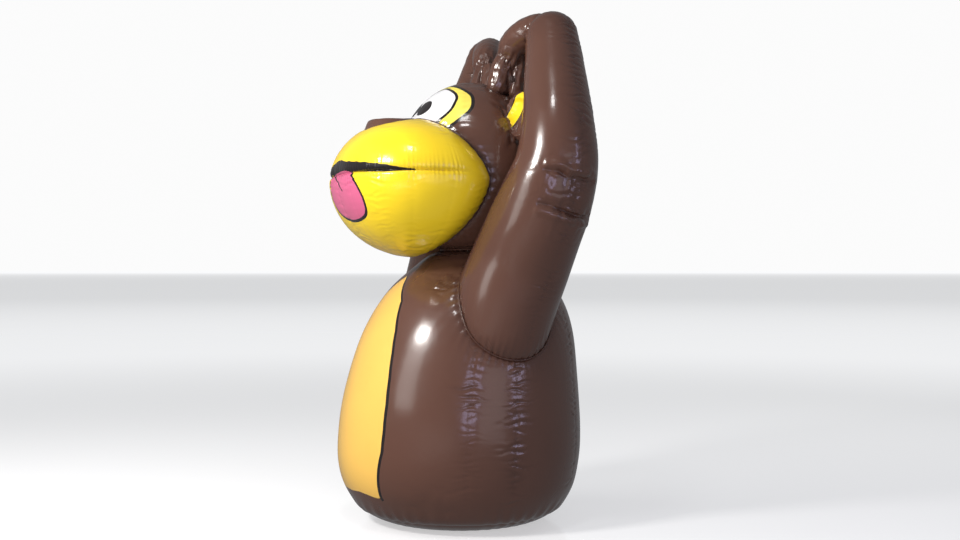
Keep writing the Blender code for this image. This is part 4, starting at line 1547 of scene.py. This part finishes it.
class OBJECT_OT_monkey_body(MonkeyOperator, bpy.types.Operator):
    """Add the body's skin"""
    bl_idname = "object.monkey_body"
    bl_label = "Body"

    def execute(self, context):
        finish = context.scene.monkey_finish
        material = coated_skin("body_coating", finish, body_paint(finish))
        add_piece("body_skin", make_body(context.scene.monkey_seams), material)
        return {"FINISHED"}


class OBJECT_OT_monkey_head(MonkeyOperator, bpy.types.Operator):
    """Add the head's skin with its printed eyes"""
    bl_idname = "object.monkey_head"
    bl_label = "Head"

    def execute(self, context):
        finish = context.scene.monkey_finish
        material = coated_skin("head_coating", finish, head_paint(finish))
        add_piece("head_skin", make_head(context.scene.monkey_seams), material)
        return {"FINISHED"}


class OBJECT_OT_monkey_muzzle(MonkeyOperator, bpy.types.Operator):
    """Add the muzzle's skin with its mouth, tongue and nose"""
    bl_idname = "object.monkey_muzzle"
    bl_label = "Muzzle"

    def execute(self, context):
        finish = context.scene.monkey_finish
        material = coated_skin("muzzle_coating", finish, muzzle_paint(finish))
        add_piece("muzzle_skin", make_muzzle(context.scene.monkey_seams), material)
        return {"FINISHED"}


class OBJECT_OT_monkey_ears(MonkeyOperator, bpy.types.Operator):
    """Add the two ears"""
    bl_idname = "object.monkey_ears"
    bl_label = "Ears"

    def execute(self, context):
        finish = context.scene.monkey_finish
        material = coated_skin("ear_coating", finish, ear_paint(finish))
        add_pair("ear", make_ear, context.scene.monkey_seams, material)
        return {"FINISHED"}


class OBJECT_OT_monkey_arms(MonkeyOperator, bpy.types.Operator):
    """Add the two arms"""
    bl_idname = "object.monkey_arms"
    bl_label = "Arms"

    def execute(self, context):
        material = coated_skin("arm_coating", context.scene.monkey_finish, plain_paint)
        add_pair("arm", make_arm, context.scene.monkey_seams, material)
        return {"FINISHED"}


class OBJECT_OT_monkey_hands(MonkeyOperator, bpy.types.Operator):
    """Add the two hands with their wrists"""
    bl_idname = "object.monkey_hands"
    bl_label = "Hands"

    def execute(self, context):
        material = coated_skin("hand_coating", context.scene.monkey_finish, plain_paint)
        add_pair("hand", make_hand, context.scene.monkey_seams, material)
        return {"FINISHED"}


class OBJECT_OT_monkey_welds(MonkeyOperator, bpy.types.Operator):
    """Add the beads along the joining welds"""
    bl_idname = "object.monkey_welds"
    bl_label = "Welds"

    def execute(self, context):
        material = weld_material(context.scene.monkey_finish)
        for name, mesh in make_welds(context.scene.monkey_seams, material).items():
            mesh.materials.clear()
            add_piece(name, mesh, material)
        return {"FINISHED"}


class OBJECT_OT_monkey_valve(MonkeyOperator, bpy.types.Operator):
    """Give the valve its moulded plastic"""
    bl_idname = "object.monkey_valve"
    bl_label = "Valve"

    def execute(self, context):
        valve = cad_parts["valve"]
        material = valve_material(context.scene.monkey_finish)
        for place in valve.material_slots:
            place.material = material
        return {"FINISHED"}


class OBJECT_OT_monkey_stage(MonkeyOperator, bpy.types.Operator):
    """Add the floor, the lights and the camera"""
    bl_idname = "object.monkey_stage"
    bl_label = "Studio"

    def execute(self, context):
        stage = context.scene.monkey_stage
        make_floor()
        for name, (azimuth, distance, height, size, power, share, *rest) in SOFTBOXES.items():
            add_softbox(name, azimuth, distance, height, size, share * getattr(stage, power), *rest)
        make_world(context.scene, stage)
        lens = bpy.data.cameras.new("studio_camera")
        lens.lens = stage.lens
        lens.sensor_width = SENSOR_WIDTH
        lens.shift_x = stage.shift
        lens.clip_end = CAMERA_REACH
        camera = bpy.data.objects.new("studio_camera", lens)
        turn = math.radians(stage.azimuth)
        camera.location = (stage.distance * math.sin(turn), -stage.distance * math.cos(turn), stage.height)
        camera.rotation_euler = (math.pi / 2.0, 0.0, turn)
        context.scene.collection.objects.link(camera)
        context.scene.camera = camera
        return {"FINISHED"}


class VIEW3D_PT_monkey(bpy.types.Panel):
    """Lists the pieces of the figure"""
    bl_idname = "VIEW3D_PT_monkey"
    bl_label = "Inflatable monkey"
    bl_space_type = "VIEW_3D"
    bl_region_type = "UI"
    bl_category = "Monkey"

    def draw(self, context):
        layout = self.layout
        for operator in OPERATORS:
            layout.operator(operator.bl_idname)
        for group in (context.scene.monkey_finish, context.scene.monkey_seams, context.scene.monkey_stage):
            box = layout.box()
            for name in group.__annotations__:
                box.prop(group, name)


OPERATORS = (
    OBJECT_OT_monkey_body,
    OBJECT_OT_monkey_head,
    OBJECT_OT_monkey_muzzle,
    OBJECT_OT_monkey_ears,
    OBJECT_OT_monkey_arms,
    OBJECT_OT_monkey_hands,
    OBJECT_OT_monkey_welds,
    OBJECT_OT_monkey_valve,
    OBJECT_OT_monkey_stage,
)
GROUPS = {"monkey_finish": MonkeyFinish, "monkey_seams": MonkeySeams, "monkey_stage": MonkeyStage}


def register():
    """Makes the settings, operators and panel known to Blender."""
    for group in GROUPS.values():
        bpy.utils.register_class(group)
    for operator in OPERATORS:
        bpy.utils.register_class(operator)
    bpy.utils.register_class(VIEW3D_PT_monkey)
    for name, group in GROUPS.items():
        setattr(bpy.types.Scene, name, bpy.props.PointerProperty(type=group))


def unregister():
    """Takes them away again."""
    for name in GROUPS:
        delattr(bpy.types.Scene, name)
    bpy.utils.unregister_class(VIEW3D_PT_monkey)
    for operator in reversed(OPERATORS):
        bpy.utils.unregister_class(operator)
    for group in reversed(list(GROUPS.values())):
        bpy.utils.unregister_class(group)


def main():
    register()
    for operator in OPERATORS:
        group, name = operator.bl_idname.split(".")
        getattr(getattr(bpy.ops, group), name)()


if __name__ == "__main__":
    main()
